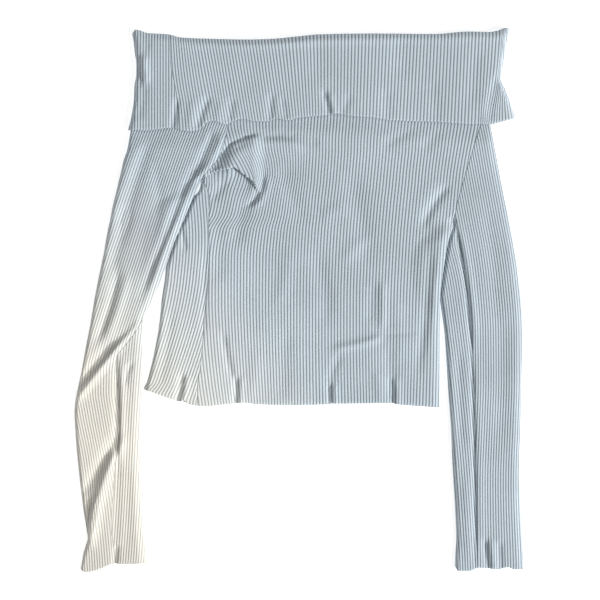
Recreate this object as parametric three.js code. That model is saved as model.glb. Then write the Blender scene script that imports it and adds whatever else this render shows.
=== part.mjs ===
// Off-shoulder top in rib knit, laid flat on its back: millimetres, +X to the right, +Y to the collar, +Z up.
import * as THREE from 'three';

// Cloth and stack
const WALL = 1.4;            // knit between the ribs
const RIB = 0.6;             // a rib stands this far out of the wall
const AIR = 0.5;             // between the front and the back of a flattened tube
const RIB_AIR = 1.0;         // between a ribbed face and what lies on it
const SEAM = 0.3;            // between two pieces at a seam
const TUBE = 2 * WALL + AIR;                      // a flattened tube of cloth
const COLLAR = 4 * WALL + AIR + 2 * RIB_AIR;      // the collar, folded over itself
const STEP_UP = WALL + RIB_AIR;                   // body and sleeves climb onto the back flap
const OVERLAP = TUBE + RIB + 0.7;                 // one tube lying on another
const TURN = WALL + RIB_AIR / 2;                  // half the thickness of the collar's top fold
const LOFT = 1.7;                                 // looseness of the top layer over the lower one
const FLAP_LOFT = 0.9;
const MOST_LIFT = 3.3;                            // the highest that a fold stands
const EAR_DROP = 2.9;                             // the flap sinks beyond the neckline inside it
const CENTRE = [0.3, -0.6];                       // middle of the whole top, where the origin lies

// Where the tubes part
const NECK = 229.8;          // neckline seam, hidden by the flap
const LEFT_ARM = 143.4;      // underarm point, left
const RIGHT_ARM = 94.2;      // underarm point, right
const ELBOW = -22;           // below it the left sleeve's seam lies on top
const HIDDEN_SEAM = 200;     // the collar's other side seam, underneath

// y, left edge, right edge of the body
const BODY = [
  [229.8, -76.8, 224.4], [209.4, -85.2, 217.2], [191.4, -88.8, 211.2], [179.4, -92.4, 207.6],
  [167.4, -98.4, 204], [155.4, -108, 200.4], [143.4, -116.85, 196.8], [133, -119.4, 193.8],
  [127.8, -122.4, 192.6], [117, -138, 189.6], [106, -147.6, 187.6], [94.2, -152.4, 184.8],
  [76.2, -156.6, 180.7], [57, -158.8, 176.4], [29.4, -160.8, 172.4], [0.6, -165, 169.2],
  [-24.6, -167.4, 169.2], [-54.6, -172.2, 169.2], [-84.6, -178.8, 169.2], [-108.6, -185, 169.2],
  [-126.6, -187.4, 169.2],
];

// y, left side seam on the top, right side seam on the underside
const SIDE_SEAMS = [
  [143.4, -117, 185], [135, -111.6, 185], [119.4, -107.4, 185], [94.2, -108.6, 185], [76.2, -108.4, 168],
  [57, -108, 150], [29.4, -109.2, 136], [7.8, -110.5, 128], [-18.6, -113.8, 122], [-51, -115.7, 119],
  [-83.4, -118.9, 117], [-102.6, -121.9, 116], [-126.6, -121.8, 116],
];

// y, left edge, right edge of the left sleeve
const LEFT_SLEEVE = [
  [229.8, -195, -76.8], [209.4, -200.4, -85.2], [191.4, -204, -88.8], [179.4, -206.4, -92.4],
  [167.4, -210.6, -98.4], [155.4, -213.6, -108], [143.4, -216.4, -117.15], [133, -218.8, -121.6],
  [127.8, -220.2, -124], [109.8, -224.4, -132.2], [94.2, -227.4, -138.4], [77.4, -231, -146],
  [59.4, -234, -153], [28.2, -240.4, -163.2], [-0.6, -246, -175.2], [-29.4, -250.8, -187.3],
  [-58.2, -256.4, -187.8], [-87, -261.6, -188.4], [-108.6, -266.2, -189.1], [-123, -268.8, -189.6],
  [-135, -269.8, -190], [-156.6, -268.8, -190.2], [-192.6, -266, -189.6], [-238.2, -262.4, -189.2],
  [-257.4, -259.8, -188.4], [-267, -255.6, -188.4], [-276.6, -251.4, -188], [-286.2, -253.8, -187.2],
  [-295.8, -257.8, -186.7], [-306.6, -260.6, -186.2], [-319.8, -262.8, -186],
];

// y, underarm seam of the left sleeve where it lies on top
const LEFT_SEAM = [
  [-29.4, -191], [-39, -196.6], [-54.6, -208.2], [-69, -218.2], [-84.6, -219.6], [-107.4, -217.4],
  [-120.6, -216], [-168.6, -216], [-192.6, -219.6], [-228.6, -222.8], [-273, -225.6], [-294.6, -222.8],
  [-319.8, -220.8],
];

// y, left edge, right edge of the right sleeve
const RIGHT_SLEEVE = [
  [229.8, 224.4, 227.4], [209.4, 217.2, 229.8], [191.4, 211.2, 233.4], [179.4, 207.6, 235.6],
  [167.4, 204, 238], [155.4, 200.4, 240.4], [143.4, 196.8, 242.6], [127.8, 192.6, 245.8],
  [117, 189.6, 248], [106, 187.6, 250.4], [94.2, 185.2, 252.6], [85.8, 184.3, 254.2], [76.2, 180.6, 256],
  [65.4, 170.4, 257.8], [47.4, 164.4, 261], [23.4, 165.8, 264], [0.6, 169.2, 266.8], [-16.2, 171.6, 268],
  [-42.6, 175, 268.6], [-79.8, 177.4, 267.8], [-114.6, 179.6, 267], [-156.6, 182.6, 266.2],
  [-196.2, 184.2, 265], [-249, 187.4, 266.3], [-287.4, 188.8, 268.2], [-307.8, 187.7, 269.4],
  [-322.2, 187.2, 270],
];

// y, underarm seam of the right sleeve
const RIGHT_SEAM = [
  [94.2, 186.4], [85.8, 188.4], [76.2, 191], [66.6, 193.4], [29.4, 199.7], [-5.4, 203.8], [-51, 207.2],
  [-79.8, 208.6], [-120.6, 210.7], [-209.4, 211.8], [-261, 212.4], [-322.2, 213.6],
];

// y, left edge, right edge of the flap, right edge of the layer inside it
const COLLAR_EDGES = [
  [324.6, -201, 253.2, 253.2], [311.4, -198.7, 250.2, 250.2], [295.8, -197.2, 247.2, 246.2],
  [280.2, -195.2, 244.6, 243], [266.4, -195.6, 242.4, 240], [256.2, -197.6, 246.6, 237],
  [240.6, -198.2, 252.4, 232], [225, -200.3, 257, 229], [217.8, -201.6, 259, 228.5], [202.2, -205.4, 260.4, 228],
];

// y, side seam of the collar on the top
const COLLAR_SEAM = [[317.4, -154.8], [281.4, -153.6], [250.2, -147.6], [220.2, -144.4], [202.2, -144]];

// x, y of the collar's top fold
const TOP_FOLD = [
  [-199.9, 319.8], [-195.6, 323.4], [-190.3, 322.4], [-181.2, 319.2], [-156.6, 317.8], [-141.4, 313.9],
  [-107.6, 312.5], [-61.7, 311.6], [-31.2, 312.5], [-0.5, 315.5], [25.2, 317.8], [85.2, 318.8],
  [160.8, 318.2], [203.3, 321.1], [228.5, 320.6], [236.9, 322], [248.8, 325.7], [253.2, 325.1],
];

// x, y of the flap's free edge, slightly waved by its overlock
const FLAP_EDGE = [
  [-205.4, 203.4], [-184.2, 202.2], [-152, 205.3], [-132.1, 201], [-118.3, 203.8], [-110.8, 211.4],
  [-103.2, 213.7], [-87.7, 209.2], [-80.2, 213], [-67.9, 216], [-52.6, 213], [-34.2, 213.7],
  [-28.1, 216.7], [-14.4, 214.2], [-0.5, 217.6], [23, 219.6], [46.7, 222.2], [56.8, 220.1],
  [85.2, 218], [112.3, 214.2], [162.8, 212.5], [203.3, 210], [230.2, 210], [236.9, 211.7], [258.8, 217.6],
];

// x, y of the hem and of the two cuffs
const HEM = [
  [-187.4, -107.8], [-172.2, -112.8], [-156.8, -118.2], [-141.6, -122.4], [-138, -120.4], [-134, -124.6],
  [-124.8, -127.3], [-111, -128.2], [-95.6, -126.6], [-78.8, -124.8], [-75.6, -122.6], [-72, -124.6],
  [-65, -123.8], [-48.2, -125.9], [-8.4, -126.6], [35, -125.6], [38.4, -122.8], [42, -124.8],
  [105.2, -124.2], [111.6, -121.8], [116, -125.4], [131.3, -126.8], [169.2, -129.5],
];
const LEFT_CUFF = [
  [-262.8, -324.1], [-255.6, -326.8], [-246.1, -325.7], [-235.9, -322], [-221.4, -316.9],
  [-199.6, -317.2], [-186, -316.2],
];
const RIGHT_CUFF = [
  [186.8, -319], [190.8, -325.4], [203.8, -325.4], [215.4, -321.6], [229.8, -322.6], [240, -323.4],
  [249.2, -321], [259.7, -323.4], [270, -323.4],
];

// Guide ribs: the rib numbers, and for each y the x of those ribs
const FRONT_RIBS = {
  numbers: [-10, 0, 5, 10, 29, 48, 67, 80],
  rows: [
    [229.8, -142.8, -102, -81, -61.8, 13.2, 87, 162, 214.8],
    [209.4, -138, -99.6, -79.8, -61.2, 12, 85.2, 159.6, 212.4],
    [191.4, -130.8, -93.6, -74.4, -58.8, 10.8, 83.4, 157.2, 208.8],
    [173.4, -118.8, -82.8, -67.2, -55.8, 9.6, 82.2, 155.6, 205.2],
    [155.4, -105.6, -69.6, -59.4, -52.2, 7.7, 80.4, 153.6, 202.2],
    [141, -99.6, -62.4, -55.2, -49.6, 6.6, 79.2, 152.2, 200.4],
    [131.4, -102.6, -64.8, -55.8, -49.2, 5.8, 78.4, 151.2, 199.4],
    [119.4, -115.2, -78, -63, -52.2, 4.8, 77, 150, 198.4],
    [101.4, -132, -94.8, -75.6, -60.6, 3.4, 75.6, 148.2, 196.8],
    [83.4, -141.6, -104.4, -85.2, -67.8, 2, 74.2, 146.4, 195],
    [47.4, -147.6, -109.6, -90.7, -72.2, 0, 72, 144, 192.6],
    [-0.6, -148.8, -110.4, -91, -72.5, -1, 70.3, 141.6, 190.8],
    [-48.6, -146.4, -108, -89.2, -70.8, -1.1, 70.2, 140.4, 189.6],
    [-96.6, -141.6, -103.2, -85.2, -67.8, -0.6, 71, 139.2, 189],
    [-126.6, -136.8, -98.4, -81.6, -65.4, -0.2, 72, 138, 188.4],
  ],
};
const STRIP_RIBS = {
  numbers: [0, 8, 16],
  rows: [
    [131.4, -132, -102.6, -73.2], [71.4, -133.2, -103.8, -74.4], [23.4, -136.8, -107.3, -78],
    [-0.6, -140.6, -111, -81.6], [-24.6, -146.2, -116.6, -87.2], [-54.6, -155, -125.5, -96],
    [-84.6, -164.9, -135.4, -105.8], [-120.6, -177.6, -148.1, -118.1],
  ],
};
const LEFT_RIBS = {
  numbers: [-15, 0, 15],
  rows: [
    [229.8, -183, -135, -87], [143.4, -214, -166, -118], [59.4, -243, -194.5, -146], [0.6, -263, -214, -166],
    [-30, -273, -224, -177], [-60, -281, -233.5, -186], [-85, -287, -239, -190], [-110, -288, -239.5, -191],
    [-135, -284, -236, -188], [-192, -272, -226, -180], [-257, -264, -218, -172], [-322, -258, -212, -166],
  ],
};
const LEFT_INNER_RIBS = {
  numbers: [0, 10],
  rows: [[-22, -211, -180], [-69, -216, -185], [-135, -221, -190], [-192, -224, -193], [-257, -227.5, -196.5],
    [-322, -232, -201]],
};
const RIGHT_RIBS = {
  numbers: [0, 20],
  rows: [
    [229.8, 162, 224], [94.2, 187, 249], [57, 194, 256], [23.4, 198.5, 260.5], [-37, 203, 265],
    [-97, 203.5, 265.5], [-150, 201.8, 263.8], [-217, 199.4, 261.4], [-322, 199, 265],
  ],
};
const RIGHT_INNER_RIBS = {
  numbers: [0, 10],
  rows: [
    [65, 160, 191], [23, 170, 201], [-37, 178.5, 209.5], [-97, 186, 217], [-157, 192, 223],
    [-217, 197, 228], [-322, 204, 235],
  ],
};
const FLAP_RIBS = {
  numbers: [0, 9, 22.4, 35.6, 48.3, 60.4, 72.2, 84, 95.7, 101, 105, 109],
  rows: [
    [323.4, -155.4, -130, -81, -30.7, 24.5, 75.1, 124.8, 172.3, 220.3, 242.4, 250.8, 258],
    [287.4, -153.8, -123.2, -74.9, -25.9, 25, 74, 122.6, 170.5, 218.4, 239.5, 246, 252],
    [263.4, -150.6, -118.8, -70.8, -22.8, 25.2, 73.2, 121.2, 169.2, 217.2, 236.4, 242.6, 248.4],
    [251.4, -147.8, -116.5, -68.8, -21.2, 25.3, 72.8, 120.5, 168.6, 216.6, 234.2, 242.4, 249.8],
    [232.2, -145.4, -112.9, -65.5, -18.6, 25.6, 72.1, 119.3, 167.5, 215.5, 229.7, 241.4, 254.4],
    [210.6, -144, -108.8, -61.8, -15.7, 25.8, 71.4, 118, 166.3, 214.4, 226.8, 241, 259.2],
  ],
};
const FLAP_LEFT_RIBS = { numbers: [-20, 0], rows: [[320, -212, -144], [200, -212, -144]] };

// Folds of body and sleeves: start x, y, end x, y, sideways bow, height (a trough is below 0), half width
const FOLDS = [
  [-108, 162, -32, 199, 9, -2.2, 7],          // trough from the left underarm, up and right
  [-112, 148, -52, 126, 13, 2.4, 9],          // tongue of cloth pulled out of the underarm
  [-42, 142, -60, 112, 4, -1.8, 6],           // hollow that closes the tongue
  [85, -42, 93, 12, -5, -1.6, 8],
  [100, -45, 136, -43, 0, 1.0, 5],
  [152, 14, 151, -76, 3, -1.5, 9],
  [149, 86, 178, 134, 3, -1.6, 7],
  [107, -78, 109, -124, 2, -1.5, 8],
  [49, -44, 46, -122, -3, -1.1, 9],
  [-74, -92, -76, -123, 2, -1.4, 6],
  [38, -100, 38, -124, 0, -1.3, 5],
  [-93, 204, -128, 148, -3, -1.8, 7],         // beside the left sleeve's rolled edge
  [-130, 146, -186, 2, -5, -1.6, 7],
  [-203, 150, -228, -28, -9, -1.4, 13],
  [-186, -30, -264, -122, 3, 2.2, 7],         // elbow ridge
  [-199, -16, -267, -104, 4, -1.7, 7],
  [-219, -76, -219, -317, 3, -1.6, 6],        // along the underarm seam
  [-200, -72, -213, -112, -2, -1.2, 5],
  [-216, -192, -250, -290, 3, 1.7, 7],        // twist of the lower sleeve
  [-232, -196, -262, -262, 3, -1.4, 6],
  [188, 88, 208, -60, 4, -1.6, 6],            // along the right sleeve's seam
  [208, -58, 213, -318, 1, -1.6, 6],
  [227, -292, 228, -323, 0, 1.3, 5],
];

// Folds of the flap, in the same columns
const FLAP_FOLDS = [
  [-193, 290, -183, 260, 0, -0.9, 7],
  [243, 270, 229, 208, -5, -0.9, 7],
  [-117, 203, -109, 232, 0, -0.9, 5],
  [-148, 204, -144, 232, 0, -0.9, 5],
  [-83, 212, -80, 236, 0, -0.8, 5],
  [-33, 213, -31, 244, 0, -0.8, 5],
  [37, 221, 31, 246, 0, -0.9, 6],
];

// Rows of points, from the neckline down
const SHARED_ROWS = [229.8, 224, 200, 176, 160, 143.4];
const BODY_ROWS = [...SHARED_ROWS, 133, 119.4, 106, 94.2, 74, 48, 12, -26, -62, -97];
const LEFT_ROWS = [
  ...SHARED_ROWS, 133, 119.4, 96, 66, 34, 6, -18, -34, -50, -66, -84, -104, -124, -150, -190, -228,
  -262, -278, -298,
];
const RIGHT_ROWS = [...SHARED_ROWS, 119.4, 94.2, 85.8, 76.2, 65.4, 44, 12, -24, -64, -110, -160, -220, -285];
const FLAP_STEPS = [0, 0.1, 0.38, 0.7, 1];
const TURN_STEPS = [0.3, 0.6, 1];
const INSIDE_STEPS = [0.4, 1];
const PLAIN_RIBS = 8;        // the smooth inner face takes a point every so many ribs

const clamp = (v, low, high) => Math.min(Math.max(v, low), high);
const mix = (a, b, t) => a + (b - a) * t;
function ease(from, to, v) {
  const t = clamp((v - from) / (to - from), 0, 1);
  return t * t * (3 - 2 * t);
}

// Reads one column of a table at a key, on a smooth curve that never overshoots the rows
function read(table, at, column = 1) {
  const last = table.length - 1;
  const way = table[0][0] > table[last][0] ? -1 : 1;
  const key = (i) => table[i][0] * way;
  const k = at * way;
  if (k <= key(0)) return table[0][column];
  if (k >= key(last)) return table[last][column];
  let i = 0;
  while (key(i + 1) < k) i += 1;
  const rise = (j) => (table[j + 1][column] - table[j][column]) / (key(j + 1) - key(j));
  const slope = (j) => {
    if (j === 0) return rise(0);
    if (j === last) return rise(last - 1);
    const [a, b] = [rise(j - 1), rise(j)];
    return a * b <= 0 ? 0 : (2 * a * b) / (a + b);
  };
  const span = key(i + 1) - key(i);
  const t = (k - key(i)) / span;
  const [a, b] = [table[i][column], table[i + 1][column]];
  return (1 + 2 * t) * (1 - t) ** 2 * a + t * t * (3 - 2 * t) * b
    + span * t * (1 - t) * ((1 - t) * slope(i) - t * slope(i + 1));
}

// x of a rib, and the rib number at an x
function ribX(ribs, number, y) {
  const { numbers, rows } = ribs;
  let c = 0;
  while (c < numbers.length - 2 && numbers[c + 1] < number) c += 1;
  const t = (number - numbers[c]) / (numbers[c + 1] - numbers[c]);
  return mix(read(rows, y, c + 1), read(rows, y, c + 2), t);
}
function ribAt(ribs, x, y) {
  const { numbers, rows } = ribs;
  let c = 0;
  while (c < numbers.length - 2 && read(rows, y, c + 2) < x) c += 1;
  const [a, b] = [read(rows, y, c + 1), read(rows, y, c + 2)];
  return mix(numbers[c], numbers[c + 1], (x - a) / (b - a));
}

// Height of one fold at a point
function foldHeight([x0, y0, x1, y1, bow, height, half], x, y) {
  const [dx, dy] = [x1 - x0, y1 - y0];
  const length = Math.hypot(dx, dy);
  const t = ((x - x0) * dx + (y - y0) * dy) / length ** 2;
  const across = ((y - y0) * dx - (x - x0) * dy) / length - bow * 4 * t * (1 - t);
  const end = ease(-0.08, 0.22, t) * ease(1.08, 0.78, t);
  return Math.abs(across) > half * 2.5 ? 0 : height * end * Math.exp(-((across / half) ** 2));
}
const foldsAt = (folds, x, y) => folds.reduce((sum, fold) => sum + foldHeight(fold, x, y), 0);

// How far the top layer stands off the lower one: nothing at the pressed edges and below the flap.
// The edges are the x where they lie, or beyond the underarm a place too far off to matter.
function loft(left, right, x, y) {
  const room = ease(1, 15, Math.min(x - left, right - x));
  const clear = ease(read(FLAP_EDGE, x) - 2, read(FLAP_EDGE, x) - 18, y);
  return room * clear * clamp(LOFT + foldsAt(FOLDS, x, y), 0, MOST_LIFT);
}
const open = (armY, y) => 60 * ease(armY, armY + 30, y);

// Climb onto the flap at the back, which all of the body and the sleeves share
const climb = (y) => STEP_UP * ease(150, 198, y);

// The body lies on the right sleeve, and the left sleeve lies on the body
function bodyLift(x, y) {
  const edge = read(RIGHT_SLEEVE, y, 1);
  return OVERLAP * ease(edge - 32, edge - 5, x) * ease(RIGHT_ARM, 77, y) * ease(-36, -2, y);
}
function leftLift(x, y) {
  const edge = read(BODY, y, 1);
  return OVERLAP * ease(edge - 32, edge - 5, x) * ease(LEFT_ARM, 129, y) * ease(-12, 30, y);
}

// Height of the top layer over the lower one, for each tube
function bodyLoft(x, y) {
  const left = y < LEFT_ARM ? Math.max(read(BODY, y, 1), read(LEFT_SLEEVE, y, 2)) : read(BODY, y, 1);
  return loft(left - open(LEFT_ARM, y), read(BODY, y, 2) + open(RIGHT_ARM, y), x, y);
}
const leftLoft = (x, y) => loft(read(LEFT_SLEEVE, y, 1), read(LEFT_SLEEVE, y, 2) + open(LEFT_ARM, y), x, y);
function rightLoft(x, y) {
  const left = y < RIGHT_ARM ? Math.max(read(RIGHT_SLEEVE, y, 1), read(BODY, y, 2)) : read(RIGHT_SLEEVE, y, 1);
  return loft(left - open(RIGHT_ARM, y), read(RIGHT_SLEEVE, y, 2), x, y);
}
const topShare = (z) => ease(WALL, WALL + AIR, z);
const raise = (stand, lift) => (x, y, z) => z + stand(x, y) * topShare(z) + lift(x, y) + climb(y);
const bodyShape = raise(bodyLoft, bodyLift);
const leftShape = raise(leftLoft, leftLift);
const rightShape = raise(rightLoft, () => 0);

// The flap's own looseness and waves, and its sinking where nothing lies inside it
function collarShape(x, y, z) {
  const flapShare = ease(COLLAR - WALL - RIB_AIR, COLLAR - WALL, z);
  const fromEdge = Math.min(x - read(COLLAR_EDGES, y, 1), read(COLLAR_EDGES, y, 2) - x);
  const stand = ease(1, 14, fromEdge) * clamp(FLAP_LOFT + foldsAt(FLAP_FOLDS, x, y), 0, MOST_LIFT);
  const inside = read(COLLAR_EDGES, y, 3);
  const drop = EAR_DROP * ease(inside - 2, inside + 12, x) * ease(268, 250, y);
  return z + stand * flapShare - drop * clamp((z - WALL) / (COLLAR - 2 * WALL), 0, 1);
}

// A point of a flattened tube: side, place along it, depth into the cloth
function tubePoint(ring, side, at, depth) {
  const radius = ring.height / 2;
  if (side === 'top') return [at, ring.height - depth];
  if (side === 'under') return [at, depth];
  const [reach, rise] = [(radius - depth) * Math.sin(Math.PI * at), (radius - depth) * Math.cos(Math.PI * at)];
  return side === 'right' ? [ring.right - radius + reach, radius + rise] : [ring.left + radius - reach, radius - rise];
}

// Places along one run: fold and underside by share, top by rib, each with its key and its relief
function places(run, y, ribbed) {
  const { side, from, to, ribs } = run;
  const ends = (keys) => [from, ...keys, to];
  if (side !== 'top') {
    const shares = side === 'under' ? [0.08, 0.25, 0.5, 0.75, 0.92] : ribbed ? [0.25, 0.5, 0.75] : [0.5];
    const inner = side === 'under' ? shares.map((s) => mix(from, to, s)) : shares.filter((s) => s > from && s < to);
    const keys = side === 'under' ? [0, ...shares, 1] : ends(inner);
    return ends(inner).map((at, i) => ({ at, key: keys[i], relief: 0 }));
  }
  const [first, last] = [ribAt(ribs, from, y), ribAt(ribs, to, y)];
  const found = [];
  const stride = ribbed ? 0.5 : 1;
  for (let n = Math.ceil((first + 0.2) / stride) * stride; n < last - 0.2; n += stride) {
    const at = ribX(ribs, n, y);
    if (ribbed || n % PLAIN_RIBS === 0 || bends(run, at, y)) {
      found.push({ at, key: n, relief: ribbed && Number.isInteger(n) ? RIB : 0 });
    }
  }
  return [{ at: from, key: first, relief: 0 }, ...found, { at: to, key: last, relief: 0 }];
}

// Whether the cloth bends at a place, so that its smooth face needs a point there too
function bends(run, x, y) {
  const stand = (at) => run.shape(at, y, COLLAR);
  return Math.abs(stand(x - 4) - 2 * stand(x) + stand(x + 4)) > 0.8;
}

// One row of points round a piece
function makeRow(piece, station, depth, ribbed) {
  const { ring, runs } = piece.at(station);
  const points = [];
  runs.forEach((run, i) => {
    const found = places({ ...run, shape: piece.shape }, station.y, ribbed);
    found.slice(i ? 1 : 0).forEach(({ at, key, relief }) => {
      const [x, z] = tubePoint(ring, run.side, at, depth - relief);
      const y = station.line ? station.line(x, depth) : station.y;
      points.push([run.slot * 1000 + key, x, y, piece.shape(x, y, z)]);
    });
  });
  return points;
}

// Zips rows of points into one closed wall
function closedWall(outer, inner) {
  const [points, faces] = [[], []];
  const keep = (row) => row.map(([key, x, y, z]) => (
    { key, id: points.push([x - CENTRE[0], y - CENTRE[1], z]) - 1 }
  ));
  const zip = (a, b) => {
    let [i, j] = [0, 0];
    while (i < a.length - 1 || j < b.length - 1) {
      const stepA = j === b.length - 1 || (i < a.length - 1 && a[i + 1].key <= b[j + 1].key);
      faces.push(stepA ? [a[i].id, b[j].id, a[i + 1].id] : [a[i].id, b[j].id, b[j + 1].id]);
      if (stepA) i += 1; else j += 1;
    }
  };
  const [out, inn] = [outer.map(keep), inner.map(keep)];
  const last = out.length - 1;
  for (let k = 0; k < last; k += 1) {
    zip(out[k], out[k + 1]);
    zip(inn[k + 1], inn[k]);
    const [a, b, c, d] = [out[k][0].id, out[k + 1][0].id, inn[k][0].id, inn[k + 1][0].id];
    faces.push([b, a, c], [b, c, d]);
    const [e, f, g, h] = [out[k], out[k + 1], inn[k], inn[k + 1]].map((row) => row[row.length - 1].id);
    faces.push([e, f, h], [e, h, g]);
  }
  zip(inn[0], out[0]);
  zip(out[last], inn[last]);
  return { points, faces };
}

// Turns a wall into a mesh whose faces look outwards
function toMesh(name, { points, faces }, finish) {
  const volume = faces.reduce((sum, [a, b, c]) => {
    const [p, q, r] = [points[a], points[b], points[c]];
    return sum + p[0] * (q[1] * r[2] - q[2] * r[1]) - p[1] * (q[0] * r[2] - q[2] * r[0])
      + p[2] * (q[0] * r[1] - q[1] * r[0]);
  }, 0);
  const turned = volume < 0 ? faces.map(([a, b, c]) => [a, c, b]) : faces;
  const geometry = new THREE.BufferGeometry();
  geometry.setAttribute('position', new THREE.Float32BufferAttribute(points.flat(), 3));
  geometry.setIndex(turned.flat());
  geometry.computeVertexNormals();
  const mesh = new THREE.Mesh(geometry, new THREE.MeshStandardMaterial(finish));
  mesh.name = name;
  return mesh;
}

// A ring of a tube, and the short names of its runs
const ringAt = (table, y) => ({ left: read(table, y, 1), right: read(table, y, 2), height: TUBE });
const [LOW, HIGH] = [0.5 - 0.12, 0.5 + 0.12];     // the two sides of a seam that lies on a fold
const HALF = TUBE / 2;

function frontAt({ y }) {
  const ring = ringAt(BODY, y);
  const arm = read(BODY, y, 1);
  const runs = [];
  if (y === LEFT_ARM) runs.push({ slot: 0, side: 'left', from: HIGH, to: 1 });
  const from = y > LEFT_ARM ? arm + SEAM / 2 : y === LEFT_ARM ? ring.left + HALF : read(SIDE_SEAMS, y, 1) + SEAM / 2;
  const to = y > RIGHT_ARM ? ring.right - SEAM / 2 : ring.right - HALF;
  runs.push({ slot: 1, side: 'top', from, to, ribs: FRONT_RIBS });
  if (y === RIGHT_ARM) runs.push({ slot: 2, side: 'right', from: 0, to: LOW });
  if (y < RIGHT_ARM) {
    runs.push({ slot: 2, side: 'right', from: 0, to: 1 });
    runs.push({ slot: 3, side: 'under', from: to, to: read(SIDE_SEAMS, y, 2) + SEAM / 2 });
  }
  return { ring, runs };
}

function backAt({ y }) {
  const ring = ringAt(BODY, y);
  const runs = [];
  if (y === RIGHT_ARM) runs.push({ slot: 0, side: 'right', from: HIGH, to: 1 });
  const onFold = y === RIGHT_ARM ? ring.right - HALF : read(SIDE_SEAMS, y, 2) - SEAM / 2;
  const from = y > RIGHT_ARM ? ring.right - SEAM / 2 : onFold;
  const to = y > LEFT_ARM ? ring.left + SEAM / 2 : ring.left + HALF;
  runs.push({ slot: 1, side: 'under', from, to });
  if (y === LEFT_ARM) runs.push({ slot: 2, side: 'left', from: 0, to: LOW });
  if (y < LEFT_ARM) {
    runs.push({ slot: 2, side: 'left', from: 0, to: 1 });
    runs.push({ slot: 3, side: 'top', from: to, to: read(SIDE_SEAMS, y, 1) - SEAM / 2, ribs: STRIP_RIBS });
  }
  return { ring, runs };
}

function leftAt({ y }) {
  const ring = ringAt(LEFT_SLEEVE, y);
  const [near, far] = [ring.right - HALF, ring.left + HALF];
  const under = (from) => [{ slot: 2, side: 'under', from, to: far }, { slot: 3, side: 'left', from: 0, to: 1 }];
  const top = (to) => ({ slot: 4, side: 'top', from: far, to, ribs: LEFT_RIBS });
  if (y > LEFT_ARM) return { ring, runs: [...under(ring.right - SEAM / 2), top(ring.right - SEAM / 2)] };
  if (y > ELBOW) {
    return {
      ring,
      runs: [
        { slot: 1, side: 'right', from: HIGH, to: 1 }, ...under(near), top(near),
        { slot: 5, side: 'right', from: 0, to: LOW },
      ],
    };
  }
  const seam = read(LEFT_SEAM, y);
  return {
    ring,
    runs: [
      { slot: 0, side: 'top', from: seam + SEAM / 2, to: near, ribs: LEFT_INNER_RIBS },
      { slot: 1, side: 'right', from: 0, to: 1 }, ...under(near), top(seam - SEAM / 2),
    ],
  };
}

function rightAt({ y }) {
  const ring = ringAt(RIGHT_SLEEVE, y);
  const [near, far] = [ring.left + HALF, ring.right - HALF];
  const top = (from) => ({ slot: 1, side: 'top', from, to: far, ribs: RIGHT_RIBS });
  const round = (to) => [{ slot: 2, side: 'right', from: 0, to: 1 }, { slot: 3, side: 'under', from: far, to }];
  if (y > RIGHT_ARM) return { ring, runs: [top(ring.left + SEAM / 2), ...round(ring.left + SEAM / 2)] };
  if (y === RIGHT_ARM) {
    return {
      ring,
      runs: [
        { slot: 0, side: 'left', from: HIGH, to: 1 }, top(near), ...round(near),
        { slot: 4, side: 'left', from: 0, to: LOW },
      ],
    };
  }
  const seam = read(RIGHT_SEAM, y);
  return {
    ring,
    runs: [
      top(seam + SEAM / 2), ...round(near), { slot: 4, side: 'left', from: 0, to: 1 },
      { slot: 5, side: 'top', from: near, to: seam - SEAM / 2, ribs: RIGHT_INNER_RIBS },
    ],
  };
}

// Collar: the ring at a row, with the flap's edges outside and the narrower layer inside
function collarRing({ line, inside }) {
  const [yLeft, yRight] = [line(-198, 0), line(252, 0)];
  return {
    left: read(COLLAR_EDGES, yLeft, 1),
    right: mix(read(COLLAR_EDGES, yRight, 2), read(COLLAR_EDGES, yRight, 3), inside),
    height: COLLAR,
  };
}
function collarFrontAt(station) {
  const ring = collarRing(station);
  const to = ring.right - COLLAR / 2;
  const seam = read(COLLAR_SEAM, station.line(-150, 0));
  return {
    ring,
    runs: [
      { slot: 1, side: 'top', from: seam + SEAM / 2, to, ribs: FLAP_RIBS },
      { slot: 2, side: 'right', from: 0, to: 1 },
      { slot: 3, side: 'under', from: to, to: HIDDEN_SEAM + SEAM / 2 },
    ],
  };
}
function collarBackAt(station) {
  const ring = collarRing(station);
  const to = ring.left + COLLAR / 2;
  const seam = read(COLLAR_SEAM, station.line(-150, 0));
  return {
    ring,
    runs: [
      { slot: 1, side: 'under', from: HIDDEN_SEAM - SEAM / 2, to },
      { slot: 2, side: 'left', from: 0, to: 1 },
      { slot: 3, side: 'top', from: to, to: seam - SEAM / 2, ribs: FLAP_LEFT_RIBS },
    ],
  };
}

// The collar's rows: up the flap, over the top fold, down the layer inside, each with its two depths
function collarStations() {
  const stations = [];
  const base = (x) => read(TOP_FOLD, x) - TURN;
  FLAP_STEPS.forEach((t) => {
    stations.push({ line: (x) => mix(read(FLAP_EDGE, x), base(x), t), outer: 0, inner: WALL, inside: 0, ribbed: true });
  });
  TURN_STEPS.forEach((t) => {
    const [out, up] = [Math.cos(Math.PI * t), Math.sin(Math.PI * t)];
    const bend = (radius) => (x) => base(x) + radius * up;
    stations.push({
      line: bend(TURN), innerLine: bend(RIB_AIR / 2), outer: TURN - TURN * out, inner: TURN - RIB_AIR / 2 * out,
      inside: t, ribbed: t < 0.5,
    });
  });
  INSIDE_STEPS.forEach((t) => {
    const line = (x) => mix(base(x), NECK + SEAM, t);
    stations.push({ line, outer: 2 * TURN, inner: WALL + RIB_AIR, inside: 1, ribbed: false });
  });
  return stations.map((station) => ({ ...station, y: station.line(20, 0) }));
}

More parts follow.
